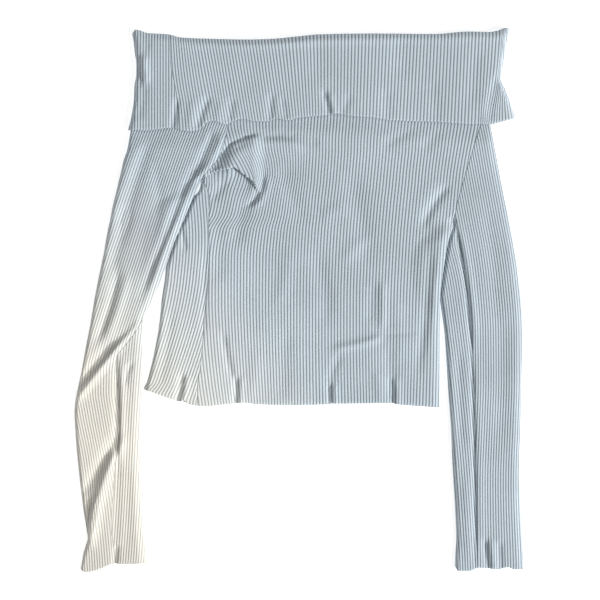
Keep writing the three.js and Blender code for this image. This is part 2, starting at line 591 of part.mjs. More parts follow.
function collarPiece(name, at, finish) {
  const piece = { at, shape: collarShape };
  const stations = collarStations();
  const outer = stations.map((s) => makeRow(piece, s, s.outer, s.ribbed));
  const inner = stations.map((s) => makeRow(piece, { ...s, line: s.innerLine ?? s.line }, s.inner, false));
  return toMesh(name, closedWall(outer, inner), finish);
}

function tubePiece(name, at, shape, rows, edge, finish) {
  const piece = { at, shape };
  const last = rows[rows.length - 1];
  const end = { y: edge === HEM ? -125 : -318, line: (x) => Math.min(read(edge, x), last - 4) };
  const stations = [...rows.map((y) => ({ y })), end];
  const plainTop = (s) => s.y < NECK;
  const outer = stations.map((s) => makeRow(piece, s, 0, plainTop(s)));
  const inner = stations.map((s) => makeRow(piece, s, WALL, false));
  return toMesh(name, closedWall(outer, inner), finish);
}

const knit = (color) => ({ color, roughness: 0.92, metalness: 0, side: THREE.FrontSide });

const group = new THREE.Group();
group.name = 'off_shoulder_top';
group.add(
  tubePiece('front_panel', frontAt, bodyShape, BODY_ROWS, HEM, knit(0xb4c1c9)),
  tubePiece('back_panel', backAt, bodyShape, BODY_ROWS, HEM, knit(0xc4c9ca)),
  tubePiece('left_sleeve', leftAt, leftShape, LEFT_ROWS, LEFT_CUFF, knit(0xc8cbc9)),
  tubePiece('right_sleeve', rightAt, rightShape, RIGHT_ROWS, RIGHT_CUFF, knit(0xb2bdc4)),
  collarPiece('collar_front', collarFrontAt, knit(0xb2bfc7)),
  collarPiece('collar_back', collarBackAt, knit(0xbdc9d2)),
);

export default group;
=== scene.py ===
import math
from collections import namedtuple
from functools import lru_cache

import bpy
import numpy as np
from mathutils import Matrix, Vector


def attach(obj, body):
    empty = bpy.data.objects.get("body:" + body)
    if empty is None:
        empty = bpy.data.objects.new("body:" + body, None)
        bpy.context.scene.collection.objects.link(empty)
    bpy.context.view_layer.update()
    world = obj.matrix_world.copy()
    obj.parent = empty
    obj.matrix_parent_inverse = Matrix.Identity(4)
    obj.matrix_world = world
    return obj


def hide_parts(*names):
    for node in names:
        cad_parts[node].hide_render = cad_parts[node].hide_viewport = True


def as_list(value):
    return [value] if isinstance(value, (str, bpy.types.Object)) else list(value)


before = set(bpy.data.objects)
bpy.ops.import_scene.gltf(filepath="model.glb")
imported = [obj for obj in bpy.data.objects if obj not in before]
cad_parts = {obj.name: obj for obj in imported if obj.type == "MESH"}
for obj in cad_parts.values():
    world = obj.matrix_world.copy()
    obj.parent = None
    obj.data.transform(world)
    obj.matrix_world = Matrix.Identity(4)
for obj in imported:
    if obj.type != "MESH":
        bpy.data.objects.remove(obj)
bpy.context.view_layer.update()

bl_info = {
    "name": "Off-shoulder top",
    "version": (1, 0, 0),
    "blender": (4, 5, 0),
    "location": "View3D > Sidebar > Top",
    "description": "Rib-knit off-shoulder top with raglan sleeves, laid flat",
    "category": "Object",
}

# All sizes are in millimetres until a mesh is written. +X is to the right, +Y to the collar, +Z up.
MM = 0.001

# Cloth and stack
WALL = 1.4                              # knit between the ribs
AIR = 0.5                               # between front and back of a flattened tube
RIB_AIR = 1.0                           # between a ribbed face and what lies on it
SEAM = 0.15                             # between two pieces at a seam
TUBE = 2 * WALL + AIR                   # a flattened tube of cloth
COLLAR = 4 * WALL + AIR + 2 * RIB_AIR   # the collar, folded over itself
STEP_UP = WALL + RIB_AIR                # body and sleeves climb onto the back flap
OVERLAP = TUBE + 1.3                    # one tube lying on another
TURN = WALL + RIB_AIR / 2               # half the thickness of the collar's top fold
CLOTH_LOFT = 3.3                        # looseness of the top layer over the lower one
COLLAR_STAND = 2.6                      # the same for the flap
LEAST_STAND, MOST_STAND = 0.1, 9.5      # of a fold
RIB_OUT = 0.78                          # a rib stands this far out of the wall
EAR_DROP = 2.9                          # the flap sinks beyond the neckline inside it
EDGE_RELIEF = 0.15                      # what is left of a rib at a bound edge
CENTRE = (0.3, -0.6)                    # middle of the whole top, where the origin lies
SLOPE_STEP = 0.15                       # the cloth's slope is measured this far to each side

# Ribs
PITCH_BODY, PITCH_SLEEVE = 3.9, 3.05    # from rib to rib
RIB_STEPS = np.array([-0.5, -0.36, -0.18, 0.0, 0.18, 0.36])   # points across one rib
RIB_ROUND = 0.55                        # how full a rib is
RIB_CLEAR = 0.06                        # the least share of a rib that a run may end with
UNDER_SHARES = (
    0.04, 0.08, 0.14, 0.2, 0.26, 0.33, 0.42, 0.5, 0.58, 0.67, 0.75, 0.83, 0.88, 0.92, 0.96)
SIDE_STEPS, INSIDE_STEPS = 8, 4         # round a side, outside and inside
SLOT = 1000.0                           # apart from run to run, in the order of a row's points
SLOT_PART = (-300, 700)                 # the keys that belong to one run

# Where the tubes part
NECK = 229.8                            # neckline seam, hidden by the flap
LEFT_ARM = 143.4                        # underarm point, left
RIGHT_ARM = 94.2                        # underarm point, right
ELBOW = -22                             # below it the left sleeve's seam lies on top
HIDDEN_SEAM = 200                       # the collar's other side seam, underneath
LOW, HIGH = 0.38, 0.62                  # the two sides of a seam that lies on a fold
UNDER_CLEAR, UNDER_SLOPE = 0.3, 0.25    # how the seam underneath leaves the fold
PARTING = (60, 30)                      # far enough that an edge counts for nothing, and the way to it

# Where loose cloth comes down to an edge, in millimetres from it
LEFT_ROOM, RIGHT_ROOM = (0, 5), (0, 9)
FLAP_ROOM, FLAP_GAP = (-3, 24), 2
COLLAR_ROOM, FOLD_ROOM = (0, 9), (0, 8)
EAR_ROOM, EAR_HEIGHT = (-2, 12), (268, 250)

# Where one tube climbs onto another
CLIMB = (-32, -5)                       # x, from the edge of the one below
BODY_CLIMB = (RIGHT_ARM, 77, -36, -2)   # y where it starts and is up, is down again and leaves
SLEEVE_CLIMB = (LEFT_ARM, 129, -12, 30)
NECK_CLIMB = (150, 198)                 # y where all climb onto the back flap

# A fold's ends, as shares of its length, and its reach in half widths
FOLD_START, FOLD_STOP, FOLD_REACH = (-0.08, 0.22), (1.08, 0.78), 2.5

# Rows of points
HEM_ROWS = (-100, -125)                 # y where rows start to turn into the hem, and where they end
LEFT_CUFF_ROWS, RIGHT_CUFF_ROWS = (-304, -318), (-308, -318)
EDGE_SHARES = (0.25, 0.5, 0.7, 0.85, 0.95, 1.0)
TUCK_ROWS = (174, 114)                  # between these they are half as far apart
FLAP_DEPTH, INSIDE_DEPTH = 102, 90      # of the collar, before and behind its top fold
TURN_STEPS, TURN_RIBBED = 9, 0.7        # over the top fold, and how far round the ribs are modelled
COLLAR_MIDDLE = 20.0                    # x where a row's y is read
COLLAR_ENDS = (-198.0, 252.0)           # x where its ends are read
COLLAR_SEAM_AT = -150.0
COLLAR_LENGTH = 640                     # twice the y of the top fold

# The tuck that the underarm makes in the front
TUCK_REACH = 10.0                       # how far the cloth slides over itself
TUCK_BEND = 6.0                         # half the length that turns over
TUCK_HEIGHT = 6.8                       # how high the upper layer stands
TUCK_TIP = -49.0                        # x of its end
TUCK_FADE, TUCK_LOW = (0, -12), (9, -7)     # x from the tip, where the slide and the height end
TUCK_ROOM = (2, 14)                     # x from the seam beside it
TUCK_PEAK = 1.65                        # makes the greatest slide TUCK_REACH
TUCK_RISE, TUCK_MOUTH = (-0.95, 0.95), (-1, 4)
TUCK_TURN = (-90, -68)                  # x where it turns from the seam's way to its own
TUCK_LEAN = (0.2, 0.5, -0.1)            # sideways share: at the seam, above the line, below it
TUCK_DOWN = (0.98, 0.87)                # downward share, at the seam and at the tip
CARRIED_SEAM = (1, 6)                   # the wall's points are carried from here off the seam,
CARRIED_X, CARRIED_Y = (-26, -36), (96, 104)    # left of this x and above this y

# Colours, 0 to 255
# The rib colour is the cloth's own; the line colour is painted shade in the hollows between ribs
RIB_COLOUR, RIB_SHADE_COLOUR = (204, 217, 227), (112, 122, 130)
PAINTED_WARM_LIGHT, WARM_LIGHT_RIB_SHADE = (209, 209, 204), (163, 160, 152)        # painted warm light on the crests, and painted warm light with painted shade between the ribs, towards the left cuff
WARM_LIGHT_WAY = (-1.0, -0.8, 0.0)           # way of the painted warm light across the top in metres, from body to left cuff
# Where the painted warm light starts and where it is full, along that way
WARM_LIGHT_FROM, WARM_LIGHT_TO = 0.06, 0.32
THREAD_DARK, THREAD_PALE = (146, 152, 156), (190, 197, 200)
STITCH_SHADE = (0.3, 0.33, 0.36, 1)     # painted shade in the dips between stitches, as light
RIB_SHADE_WIDTH = 0.42                       # width of the painted shade between ribs, in ribs

# Stage, in metres
FLOOR_SIDE, FLOOR_BELOW = 4.0, 0.0002
VIEW_WIDTH = 0.72                       # what the photograph's 600 pixels cover
LENS, SENSOR = 85.0, 36.0
CLOTH_LEVEL = 0.004                     # where the cloth's size is judged
VIEW_MIDDLE = (0.0009, 0.0)
DAYLIGHT, COOL, WARM = (1.0, 0.99, 0.98), (0.96, 0.98, 1.0), (1, 0.94, 0.84)
AREA_LIGHTS = (                         # name, place, target, size, power, colour
    ("key", (5.1, -2.5, 4.0), (0, 0, 0), 1.3, 525, DAYLIGHT),
    ("low", (0.45, -1.3, 1.2), (0.25, -0.3, 0), 0.8, 1.0, DAYLIGHT),
    ("fill", (-0.9, 0.8, 1.6), (-0.1, 0.2, 0), 1.2, 4, COOL),
)
SPOT_PLACE, SPOT_TARGET = (0.53, -0.58, 1.15), (-0.26, -0.14, 0)
SPOT_POWER, SPOT_WIDTH, SPOT_SIZE = 46, math.radians(23), 0.08
SKY, SKY_POWER = (1.0, 0.98, 0.95, 1), 0.3
PAPER, PAPER_GLOW = (0.93, 0.93, 0.93, 1), 0.58

Ribs = namedtuple("Ribs", "numbers rows")

# Outlines of the tubes, and seams on them: y, then x of the left side, x of the right side
BODY = (
    (229.8, -76.8, 224.4), (209.4, -85.2, 217.2), (191.4, -88.8, 211.2), (179.4, -92.4, 207.6),
    (167.4, -98.4, 204), (155.4, -108, 200.4), (143.4, -116.85, 196.8), (133, -119.4, 193.8),
    (127.8, -122.4, 192.6), (117, -138, 189.6), (106, -147.6, 187.6), (94.2, -152.4, 184.8),
    (76.2, -156.6, 180.7), (57, -158.8, 176.4), (29.4, -160.8, 172.4), (0.6, -165, 169.2),
    (-24.6, -167.4, 169.2), (-54.6, -172.2, 169.2), (-84.6, -178.8, 169.2), (-108.6, -185, 169.2),
    (-126.6, -187.4, 169.2),
)
SIDE_SEAMS = (
    (143.4, -117, 185), (135, -111.6, 185), (119.4, -107.4, 185), (94.2, -108.6, 185),
    (76.2, -108.4, 168), (57, -108, 150), (29.4, -109.2, 136), (7.8, -110.5, 128),
    (-18.6, -113.8, 122), (-51, -115.7, 119), (-83.4, -118.9, 117), (-102.6, -121.9, 116),
    (-126.6, -121.8, 116),
)
LEFT_SLEEVE = (
    (229.8, -195, -76.8), (209.4, -200.4, -85.2), (191.4, -204, -88.8), (179.4, -206.4, -92.4),
    (167.4, -210.6, -98.4), (155.4, -213.6, -108), (143.4, -216.4, -117.15),
    (133, -218.8, -121.6), (127.8, -220.2, -124), (109.8, -224.4, -132.2), (94.2, -227.4, -138.4),
    (77.4, -231, -146), (59.4, -234, -153), (28.2, -240.4, -163.2), (-0.6, -246, -175.2),
    (-29.4, -250.8, -187.3), (-58.2, -256.4, -187.8), (-87, -261.6, -188.4),
    (-108.6, -266.2, -189.1), (-123, -268.8, -189.6), (-135, -269.8, -190),
    (-156.6, -268.8, -190.2), (-192.6, -266, -189.6), (-238.2, -260.8, -189),
    (-257.4, -258.4, -188), (-267, -256.8, -187.6), (-276.6, -255.2, -187),
    (-286.2, -253.8, -186), (-295.8, -256.4, -185), (-306.6, -259.6, -184),
    (-319.8, -262.8, -183),
)
LEFT_SEAM = (
    (-22, -187), (-29.4, -191), (-39, -196.6), (-54.6, -208.2), (-69, -218.2), (-84.6, -219.6),
    (-107.4, -217.4), (-120.6, -216), (-168.6, -216), (-192.6, -219.6), (-228.6, -222.8),
    (-273, -225.6), (-294.6, -222.8), (-319.8, -220.8),
)
RIGHT_SLEEVE = (
    (229.8, 224.4, 227.4), (209.4, 217.2, 229.8), (191.4, 211.2, 233.4), (179.4, 207.6, 235.6),
    (167.4, 204, 238), (155.4, 200.4, 240.4), (143.4, 196.8, 242.6), (127.8, 192.6, 245.8),
    (117, 189.6, 248), (106, 187.6, 250.4), (94.2, 185.2, 252.6), (85.8, 184.3, 254.2),
    (76.2, 180.6, 256), (65.4, 170.4, 257.8), (47.4, 164.4, 261), (23.4, 165.8, 264),
    (0.6, 169.2, 266.8), (-16.2, 171.6, 268), (-42.6, 175, 268.6), (-79.8, 177.4, 267.8),
    (-114.6, 179.6, 267), (-156.6, 182.6, 266.2), (-196.2, 184.2, 265), (-249, 187.4, 266.3),
    (-287.4, 188.8, 268.2), (-307.8, 187.7, 269.4), (-322.2, 187.2, 270),
)
RIGHT_SEAM = (
    (94.2, 186.4), (85.8, 188.4), (76.2, 191), (66.6, 193.4), (29.4, 199.7), (-5.4, 203.8),
    (-51, 207.2), (-79.8, 208.6), (-120.6, 210.7), (-209.4, 211.8), (-261, 212.4),
    (-322.2, 213.6),
)

# The collar's sides: y, x of the left one, x of the right one on top, x of it inside
COLLAR_EDGES = (
    (324.6, -201, 253.2, 253.2), (311.4, -198.7, 250.2, 250.2), (295.8, -197.2, 247.2, 246.2),
    (280.2, -195.2, 244.6, 243), (266.4, -195.6, 242.4, 240), (256.2, -197.6, 246.6, 237),
    (240.6, -198.2, 252.4, 232), (225, -200.3, 257, 229), (217.8, -201.6, 259, 228.5),
    (202.2, -205.4, 260.4, 228),
)
COLLAR_SEAM = (
    (317.4, -154.8), (281.4, -153.6), (250.2, -147.6), (220.2, -144.4), (202.2, -144),
)

# Lines across the top: x, y
TOP_FOLD = (
    (-199.9, 319.8), (-195.6, 323.4), (-190.3, 322.4), (-181.2, 319.2), (-156.6, 317.8),
    (-141.4, 313.9), (-107.6, 312.5), (-61.7, 311.6), (-31.2, 312.5), (-0.5, 315.5),
    (25.2, 317.8), (85.2, 318.8), (160.8, 318.2), (203.3, 321.1), (228.5, 320.6), (236.9, 322),
    (248.8, 325.7), (253.2, 325.1),
)
FLAP_EDGE = (
    (-205.4, 203.4), (-184.2, 202.2), (-152, 205.3), (-132.1, 201), (-118.3, 203.8),
    (-110.8, 211.4), (-103.2, 213.7), (-87.7, 209.2), (-80.2, 213), (-67.9, 216), (-52.6, 213),
    (-34.2, 213.7), (-28.1, 216.7), (-14.4, 214.2), (-0.5, 217.6), (23, 219.6), (46.7, 222.2),
    (56.8, 220.1), (85.2, 218), (112.3, 214.2), (162.8, 212.5), (203.3, 210), (230.2, 210),
    (236.9, 211.7), (258.8, 217.6),
)
HEM = (
    (-187.4, -107.8), (-172.2, -112.8), (-156.8, -118.2), (-141.6, -122.4), (-138, -120.4),
    (-134, -124.6), (-124.8, -127.3), (-111, -128.2), (-95.6, -126.6), (-78.8, -124.8),
    (-75.6, -122.6), (-72, -124.6), (-65, -123.8), (-48.2, -125.9), (-8.4, -126.6), (35, -125.6),
    (38.4, -122.8), (42, -124.8), (105.2, -124.2), (111.6, -123.8), (116, -125.2),
    (131.3, -126.8), (169.2, -129.5),
)
LEFT_CUFF = (
    (-262.8, -324.1), (-255.6, -326.8), (-246.1, -325.7), (-235.9, -322), (-221.4, -316.9),
    (-199.6, -317.2), (-186, -316.2),
)
RIGHT_CUFF = (
    (186.8, -319), (190.8, -325.4), (203.8, -325.4), (215.4, -321.6), (229.8, -322.6),
    (240, -323.4), (249.2, -321), (259.7, -323.4), (270, -323.4),
)

# Folds: x and y of one end, x and y of the other, bow, height (a trough is below 0), half width
BODY_FOLDS = (
    (-108, 162, -8, 195, 11, -3.6, 5.5), (-66, 188, 6, 178, 8, 2.6, 5.5),
    (-14, 198, 24, 186, 2, -1.6, 6), (-43, 152, -64, 110, 6, -3.3, 4.2),
    (-37, 148, -57, 108, 6, 1.5, 4), (-87, 143, -105, 119, 0, -1.7, 6),
    (-65, 125, -79, 63, 2, -1.4, 9), (-97, 97, -99, 21, 2, -1.1, 9),
    (100, 24, 99, -38, 1, 2.1, 5), (87, 19, 84, -29, 1, -1.1, 6),
    (102, -44, 40, -59, 2, 2.5, 4.5), (-106, 144, -85, 153, 1, -2.5, 4),
    (-81, 151, -57, 131, 0, -2.5, 4), (97, -42, 139, -40, 0, -1, 2),
    (114, 4, 122, -74, 2, 1.3, 9), (157, 70, 142, -88, 3, -2.4, 6.5),
    (166, 64, 152, -70, 3, 0.8, 6), (148, 87, 179, 137, 3, -2.9, 5.5),
    (137, 96, 166, 146, 3, 0.5, 8), (100, 184, 138, 206, 0, -1.5, 7),
    (148, 178, 170, 206, 0, -1.1, 7), (106, -56, 110, -124, 2, -1.6, 7),
    (109, -94, 111, -134, 1, -3.0, 3.8), (116, -92, 118, -134, 1, 1.8, 4.5),
    (92, -86, 96, -126, 2, 1.1, 5), (50, -65, 33, -111, -2, -1.4, 5.5),
    (36.5, -100, 37, -130, 0, -3.3, 3), (43, -100, 44, -130, 0, 1.6, 3.5),
    (-15, -39, -19, -119, -2, -1.1, 9), (19, 61, 33, -29, 3, -1.8, 10),
    (-21, 161, 9, 91, -3, -1.5, 10), (59, 151, 83, 41, 3, -1.8, 11),
    (27, 96, 58, 110, 3, 1.1, 8), (52, 44, 86, 76, 3, 1.2, 8),
    (-10, 62, -26, -8, 2, 1.2, 9), (-76, -92, -77, -129, 1, -3.2, 4),
    (-92, -38, -79, -98, -1, -2.4, 4), (-69, -92, -70, -129, 0, 1.6, 4),
    (-50, -60, -60, -122, 2, 1.1, 8), (-140, -88, -148, -128, 1, -3.3, 4.2),
    (-133, -90, -140, -127, 1, 1.6, 4), (-153, -9, -167, -103, 2, -1.3, 6),
    (-112, 67, -115, -49, 0, -1.5, 4), (-90, 207, -128, 139, 7, 2.6, 4),
    (-101, 207, -134, 138, 2, -3.3, 4.6), (-126, 161, -190, 3, 0, -3.1, 5),
    (-142, 90, -136, 58, 0, -2.4, 3), (-127, 130, -182, 2, -2, 1.2, 4),
    (-188, 192, -226, 80, -4, 2.2, 7), (-177, 196, -214, 70, -3, -2.6, 8),
    (-172, 166, -176, 62, 6, -1.3, 6.5), (-204, 112, -226, 30, -1, -2.8, 8),
    (-213, 98, -237, 0, -4, 1.8, 7.5), (-216, 40, -244, -54, 3, -3.3, 4.6),
    (-205, 34, -232, -50, 3, 2.2, 5), (-187, -21, -226, -69, 0, 1.8, 3.4),
    (-207, -44, -270, -125, 0, 4.4, 4.6), (-223, -50, -273, -114, 0, -3.3, 6),
    (-205, -30, -246, -82, 2, -0.9, 5), (-219, -66, -219, -204, 1, -3.3, 3.4),
    (-211.5, -76, -213, -200, 0, 2.4, 4), (-220, -85, -221, -316, 3, -1.8, 6),
    (-200, -75, -208, -103, -2, -2.4, 3.5), (-210, -166, -249, -296, -7, 5.6, 6),
    (-217, -162, -263, -240, 0, -3.3, 6.5), (-239, -232, -250, -296, -1, 2.4, 4),
    (-252, -236, -256, -290, 0, -3.3, 4), (-219, -294, -221, -321, 0, -3, 3.4),
    (-205, -199, -207, -309, 0, -1.1, 6), (186, 92, 206, -62, 4, -3.3, 2.6),
    (192, 90, 212, -60, 4, 1.8, 4), (206, -50, 211, -320, 1, -2.6, 2.4),
    (214, -60, 218, -300, 1, 0.8, 4.5), (237, 191, 251, 61, -3, -1.1, 9),
    (225, 121, 237, -39, 2, -1.3, 9), (243, -19, 239, -179, 2, -1.3, 10),
    (191, -59, 195, -179, 0, -1.3, 5), (200, -210, 203, -318, 0, 1.1, 5),
    (222, -286, 227, -328, 0, -3.3, 3.6), (230, -286, 234, -328, 0, 2.0, 4),
    (240, -290, 242, -328, 0, -2.2, 3.5),
)
COLLAR_FOLDS = (
    (-198, 296, -190, 254, 0, -3.6, 4.5), (-185.5, 292, -182, 258, 0, 4.0, 4.4),
    (-175, 312, 30, 310, -6, 1.6, 5), (-40, 306, 262, 316, 2, 1.6, 5),
    (-187, 259, -193, 215, 2, -1.4, 6), (-197, 319, -177, 301, 0, -1.3, 5),
    (-152, 201, -146, 241, 0, -2.7, 3.6), (-122, 203, -107, 243, 2, -2.7, 4.5),
    (-132, 202, -126, 240, 0, 1.1, 5), (-84, 209, -80, 241, 0, -1.7, 5),
    (-98, 210, -94, 236, 0, 1, 5), (-35, 211, -33, 247, 0, -2.2, 4.5),
    (-15, 215, -21, 241, 0, -1.3, 4), (37, 218, 29, 251, 0, -2.6, 3.6),
    (43.5, 217, 37, 247, 0, 1.8, 3.6), (51, 218, 61, 247, 0, -1.1, 5),
    (107, 213, 103, 251, 0, -1.1, 7), (165, 211, 159, 261, 0, -1, 8),
    (-61, 301, -57, 251, 0, -0.8, 12), (19, 313, 25, 263, 0, -0.8, 12),
    (119, 313, 123, 265, 0, -1, 12), (243, 273, 229, 208, -5, -2.8, 5.5),
    (213, 301, 205, 231, 0, -1.1, 9),
)

# The tuck's mouth and the line that it folds on: x, y
TUCK_TROUGH = (
    (-114, 158), (-102, 166), (-91, 177), (-79, 187), (-64, 193), (-48, 197), (-25, 196),
)
TUCK_LINE = (
    (-120, 146), (-110, 150), (-103, 152), (-94, 157), (-86, 161), (-81, 162.5), (-75, 158),
    (-69, 152.5), (-60, 146), (-56, 141), (-52, 134), (-46, 126),
)

# Courses of the ribs: the numbers of some ribs, then rows of y and the x of each
FRONT_RIBS = Ribs((-10, -3, 1, 6, 10, 14, 29, 48, 67, 80), (
    (229.8, -142.8, -114.2, -97.8, -77.2, -61.8, -46, 13.2, 87, 162, 214.8),
    (209.4, -138, -111, -95.6, -76.1, -61.2, -45.8, 12, 85.2, 159.6, 212.4),
    (191.4, -131, -106, -91.5, -72, -58.2, -43.7, 10.8, 83.4, 157.2, 208.8),
    (177, -127, -103, -88, -68, -55, -41.5, 10.9, 82.8, 156, 206),
    (167, -124.5, -100.5, -83, -62.5, -50.5, -38.5, 10.4, 82, 154.8, 204.2),
    (150, -121, -98, -78, -57, -46.5, -36.5, 9.2, 80.5, 152.9, 201.5),
    (141, -122, -99, -81, -60, -48.5, -38.5, 8.6, 79.6, 152.2, 200.4),
    (131.4, -125, -99.8, -84.2, -64, -52, -41, 7.4, 78.7, 151.2, 199.4),
    (119.4, -128.5, -102.3, -86.8, -68.5, -56, -43.5, 6, 77.2, 150, 198.4),
    (101.4, -132, -105.9, -91, -72.6, -60.6, -47.1, 4.2, 75.6, 148.2, 196.8),
    (83.4, -141.6, -115.6, -100.6, -81.7, -67.8, -53.1, 2, 74.2, 146.4, 195),
    (47.4, -147.6, -121, -105.8, -87, -72.2, -57, 0, 72, 144, 192.6),
    (-0.6, -148.8, -121.9, -106.5, -87.3, -72.5, -57.4, -1, 70.3, 141.6, 190.8),
    (-48.6, -146.4, -119.5, -104.2, -85.5, -70.8, -56.1, -1.1, 70.2, 140.4, 189.6),
    (-96.6, -141.6, -114.7, -99.6, -81.7, -67.8, -53.7, -0.6, 71, 139.2, 189),
    (-126.6, -136.8, -109.9, -95, -78.4, -65.4, -51.7, -0.2, 72, 138, 188.4),
))
STRIP_RIBS = Ribs((0, 8, 16), (
    (131.4, -137, -107.6, -78.2), (71.4, -133.2, -103.8, -74.4), (23.4, -136.8, -107.3, -78),
    (-0.6, -140.6, -111, -81.6), (-24.6, -146.2, -116.6, -87.2), (-54.6, -155, -125.5, -96),
    (-84.6, -164.9, -135.4, -105.8), (-120.6, -177.6, -148.1, -118.1),
))
LEFT_RIBS = Ribs((-15, 0, 15), (
    (229.8, -183, -135, -87), (143.4, -214, -166, -118), (59.4, -243, -194.5, -146),
    (0.6, -263, -214, -166), (-30, -273, -224, -177), (-60, -281, -233.5, -186),
    (-85, -287, -239, -190), (-110, -288, -239.5, -191), (-135, -284, -236, -188),
    (-192, -272, -226, -180), (-257, -264, -218, -172), (-322, -258, -212, -166),
))
LEFT_INNER_RIBS = Ribs((0, 10), (
    (-22, -211, -180), (-69, -216, -185), (-135, -221, -190), (-192, -224, -193),
    (-257, -227.5, -196.5), (-322, -232, -201),
))
RIGHT_RIBS = Ribs((0, 20), (
    (229.8, 162, 224), (94.2, 187, 249), (57, 194, 256), (23.4, 198.5, 260.5), (-37, 203, 265),
    (-97, 203.5, 265.5), (-150, 201.8, 263.8), (-217, 199.4, 261.4), (-322, 199, 265),
))
RIGHT_INNER_RIBS = Ribs((0, 10), (
    (65, 160, 191), (23, 170, 201), (-37, 178.5, 209.5), (-97, 186, 217), (-157, 192, 223),
    (-217, 197, 228), (-322, 204, 235),
))
FLAP_RIBS = Ribs((0, 9, 22.4, 35.6, 48.3, 60.4, 72.2, 84, 95.7, 101, 105, 109), (
    (323.4, -155.4, -130, -81, -30.7, 24.5, 75.1, 124.8, 172.3, 220.3, 242.4, 250.8, 258),
    (287.4, -153.8, -123.2, -74.9, -25.9, 25, 74, 122.6, 170.5, 218.4, 239.5, 246, 252),
    (263.4, -150.6, -118.8, -70.8, -22.8, 25.2, 73.2, 121.2, 169.2, 217.2, 236.4, 242.6, 248.4),
    (251.4, -147.8, -116.5, -68.8, -21.2, 25.3, 72.8, 120.5, 168.6, 216.6, 234.2, 242.4, 249.8),
    (232.2, -145.4, -112.9, -65.5, -18.6, 25.6, 72.1, 119.3, 167.5, 215.5, 229.7, 241.4, 254.4),
    (210.6, -144, -108.8, -61.8, -15.7, 25.8, 71.4, 118, 166.3, 214.4, 226.8, 241, 259.2),
))
FLAP_LEFT_RIBS = Ribs((-20, 0), (
    (320, -212, -144), (200, -212, -144),
))


# Reading the tables

def ease(start, end, v):
    t = np.clip((np.asarray(v, float) - start) / (end - start), 0, 1)
    return t * t * (3 - 2 * t)


def mix(a, b, t):
    return a + (b - a) * t


@lru_cache(maxsize=None)
def curve_of(table, column):
    rows = sorted(table)
    key = np.array([row[0] for row in rows], float)
    value = np.array([row[column] for row in rows], float)
    rise = np.diff(value) / np.diff(key)
    slope = np.concatenate(([rise[0]], np.zeros(len(rise) - 1), [rise[-1]]))
    a, b = rise[:-1], rise[1:]
    same = a * b > 0
    slope[1:-1][same] = 2 * a[same] * b[same] / (a[same] + b[same])
    return key, value, slope


def read(table, at, column=1):
    """One column of a table, on a smooth curve that never overshoots its rows."""
    key, value, slope = curve_of(table, column)
    at = np.clip(at, key[0], key[-1])
    i = np.clip(np.searchsorted(key, at, side="right") - 1, 0, len(key) - 2)
    span = key[i + 1] - key[i]
    t = (at - key[i]) / span
    return (
        (1 + 2 * t) * (1 - t) ** 2 * value[i] + t * t * (3 - 2 * t) * value[i + 1]
        + span * t * (1 - t) * ((1 - t) * slope[i] - t * slope[i + 1])
    )


def rib_columns(ribs, y):
    return np.array([read(ribs.rows, y, c + 1) for c in range(len(ribs.numbers))])


def rib_x(ribs, number, y):
    """x of each rib number at y."""
    known = np.array(ribs.numbers, float)
    columns = rib_columns(ribs, y)
    c = np.clip(np.searchsorted(known, number) - 1, 0, len(known) - 2)
    t = (number - known[c]) / (known[c + 1] - known[c])
    return mix(columns[c], columns[c + 1], t)


def rib_at(ribs, x, y):
    """Rib number at one x."""
    columns = rib_columns(ribs, y)
    c = int(np.clip(np.searchsorted(columns, x) - 1, 0, len(columns) - 2))
    t = (x - columns[c]) / (columns[c + 1] - columns[c])
    return mix(ribs.numbers[c], ribs.numbers[c + 1], t)


def fold_height(fold, x, y):
    """One fold or trough: full in the middle of its length, soft across."""
    x0, y0, x1, y1, bow, height, half = fold
    dx, dy = x1 - x0, y1 - y0
    length = math.hypot(dx, dy)
    t = ((x - x0) * dx + (y - y0) * dy) / length ** 2
    across = ((y - y0) * dx - (x - x0) * dy) / length - bow * 4 * t * (1 - t)
    end = ease(*FOLD_START, t) * ease(*FOLD_STOP, t)
    soft = height * end * np.exp(-((across / half) ** 2))
    return np.where(np.abs(across) > half * FOLD_REACH, 0, soft)


def folds_at(folds, x, y):
    return sum(fold_height(fold, x, y) for fold in folds)


def loft(left, right, x, y):
    """How high the top layer stands between two edges, with its folds."""
    room = np.minimum(ease(*LEFT_ROOM, x - left), ease(*RIGHT_ROOM, right - x))
    clear = ease(*FLAP_ROOM, read(FLAP_EDGE, x) - FLAP_GAP - y)
    return room * clear * np.clip(CLOTH_LOFT + folds_at(BODY_FOLDS, x, y), LEAST_STAND, MOST_STAND)


def parted(arm, y):
    """Moves an edge out of reach above the underarm, where two tubes are sewn together."""
    far, way = PARTING
    return far * ease(arm, arm + way, y)


def body_loft(x, y):
    left = read(BODY, y, 1)
    left = np.where(y < LEFT_ARM, np.maximum(left, read(LEFT_SLEEVE, y, 2)), left)
    return loft(left - parted(LEFT_ARM, y), read(BODY, y, 2) + parted(RIGHT_ARM, y), x, y)


def left_loft(x, y):
    return loft(read(LEFT_SLEEVE, y, 1), read(LEFT_SLEEVE, y, 2) + parted(LEFT_ARM, y), x, y)


def right_loft(x, y):
    left = read(RIGHT_SLEEVE, y, 1)
    left = np.where(y < RIGHT_ARM, np.maximum(left, read(BODY, y, 2)), left)
    return loft(left - parted(RIGHT_ARM, y), read(RIGHT_SLEEVE, y, 2), x, y)


def climb(x, y, edge, way):
    """How far one tube is lifted by another that it lies on."""
    start, up, down, leave = way
    return OVERLAP * ease(*CLIMB, x - edge) * ease(start, up, y) * ease(down, leave, y)


def body_lift(x, y):
    """The body lies on the right sleeve."""
    return climb(x, y, read(RIGHT_SLEEVE, y, 1), BODY_CLIMB)


def left_lift(x, y):
    """The left sleeve lies on the body."""
    return climb(x, y, read(BODY, y, 1), SLEEVE_CLIMB)


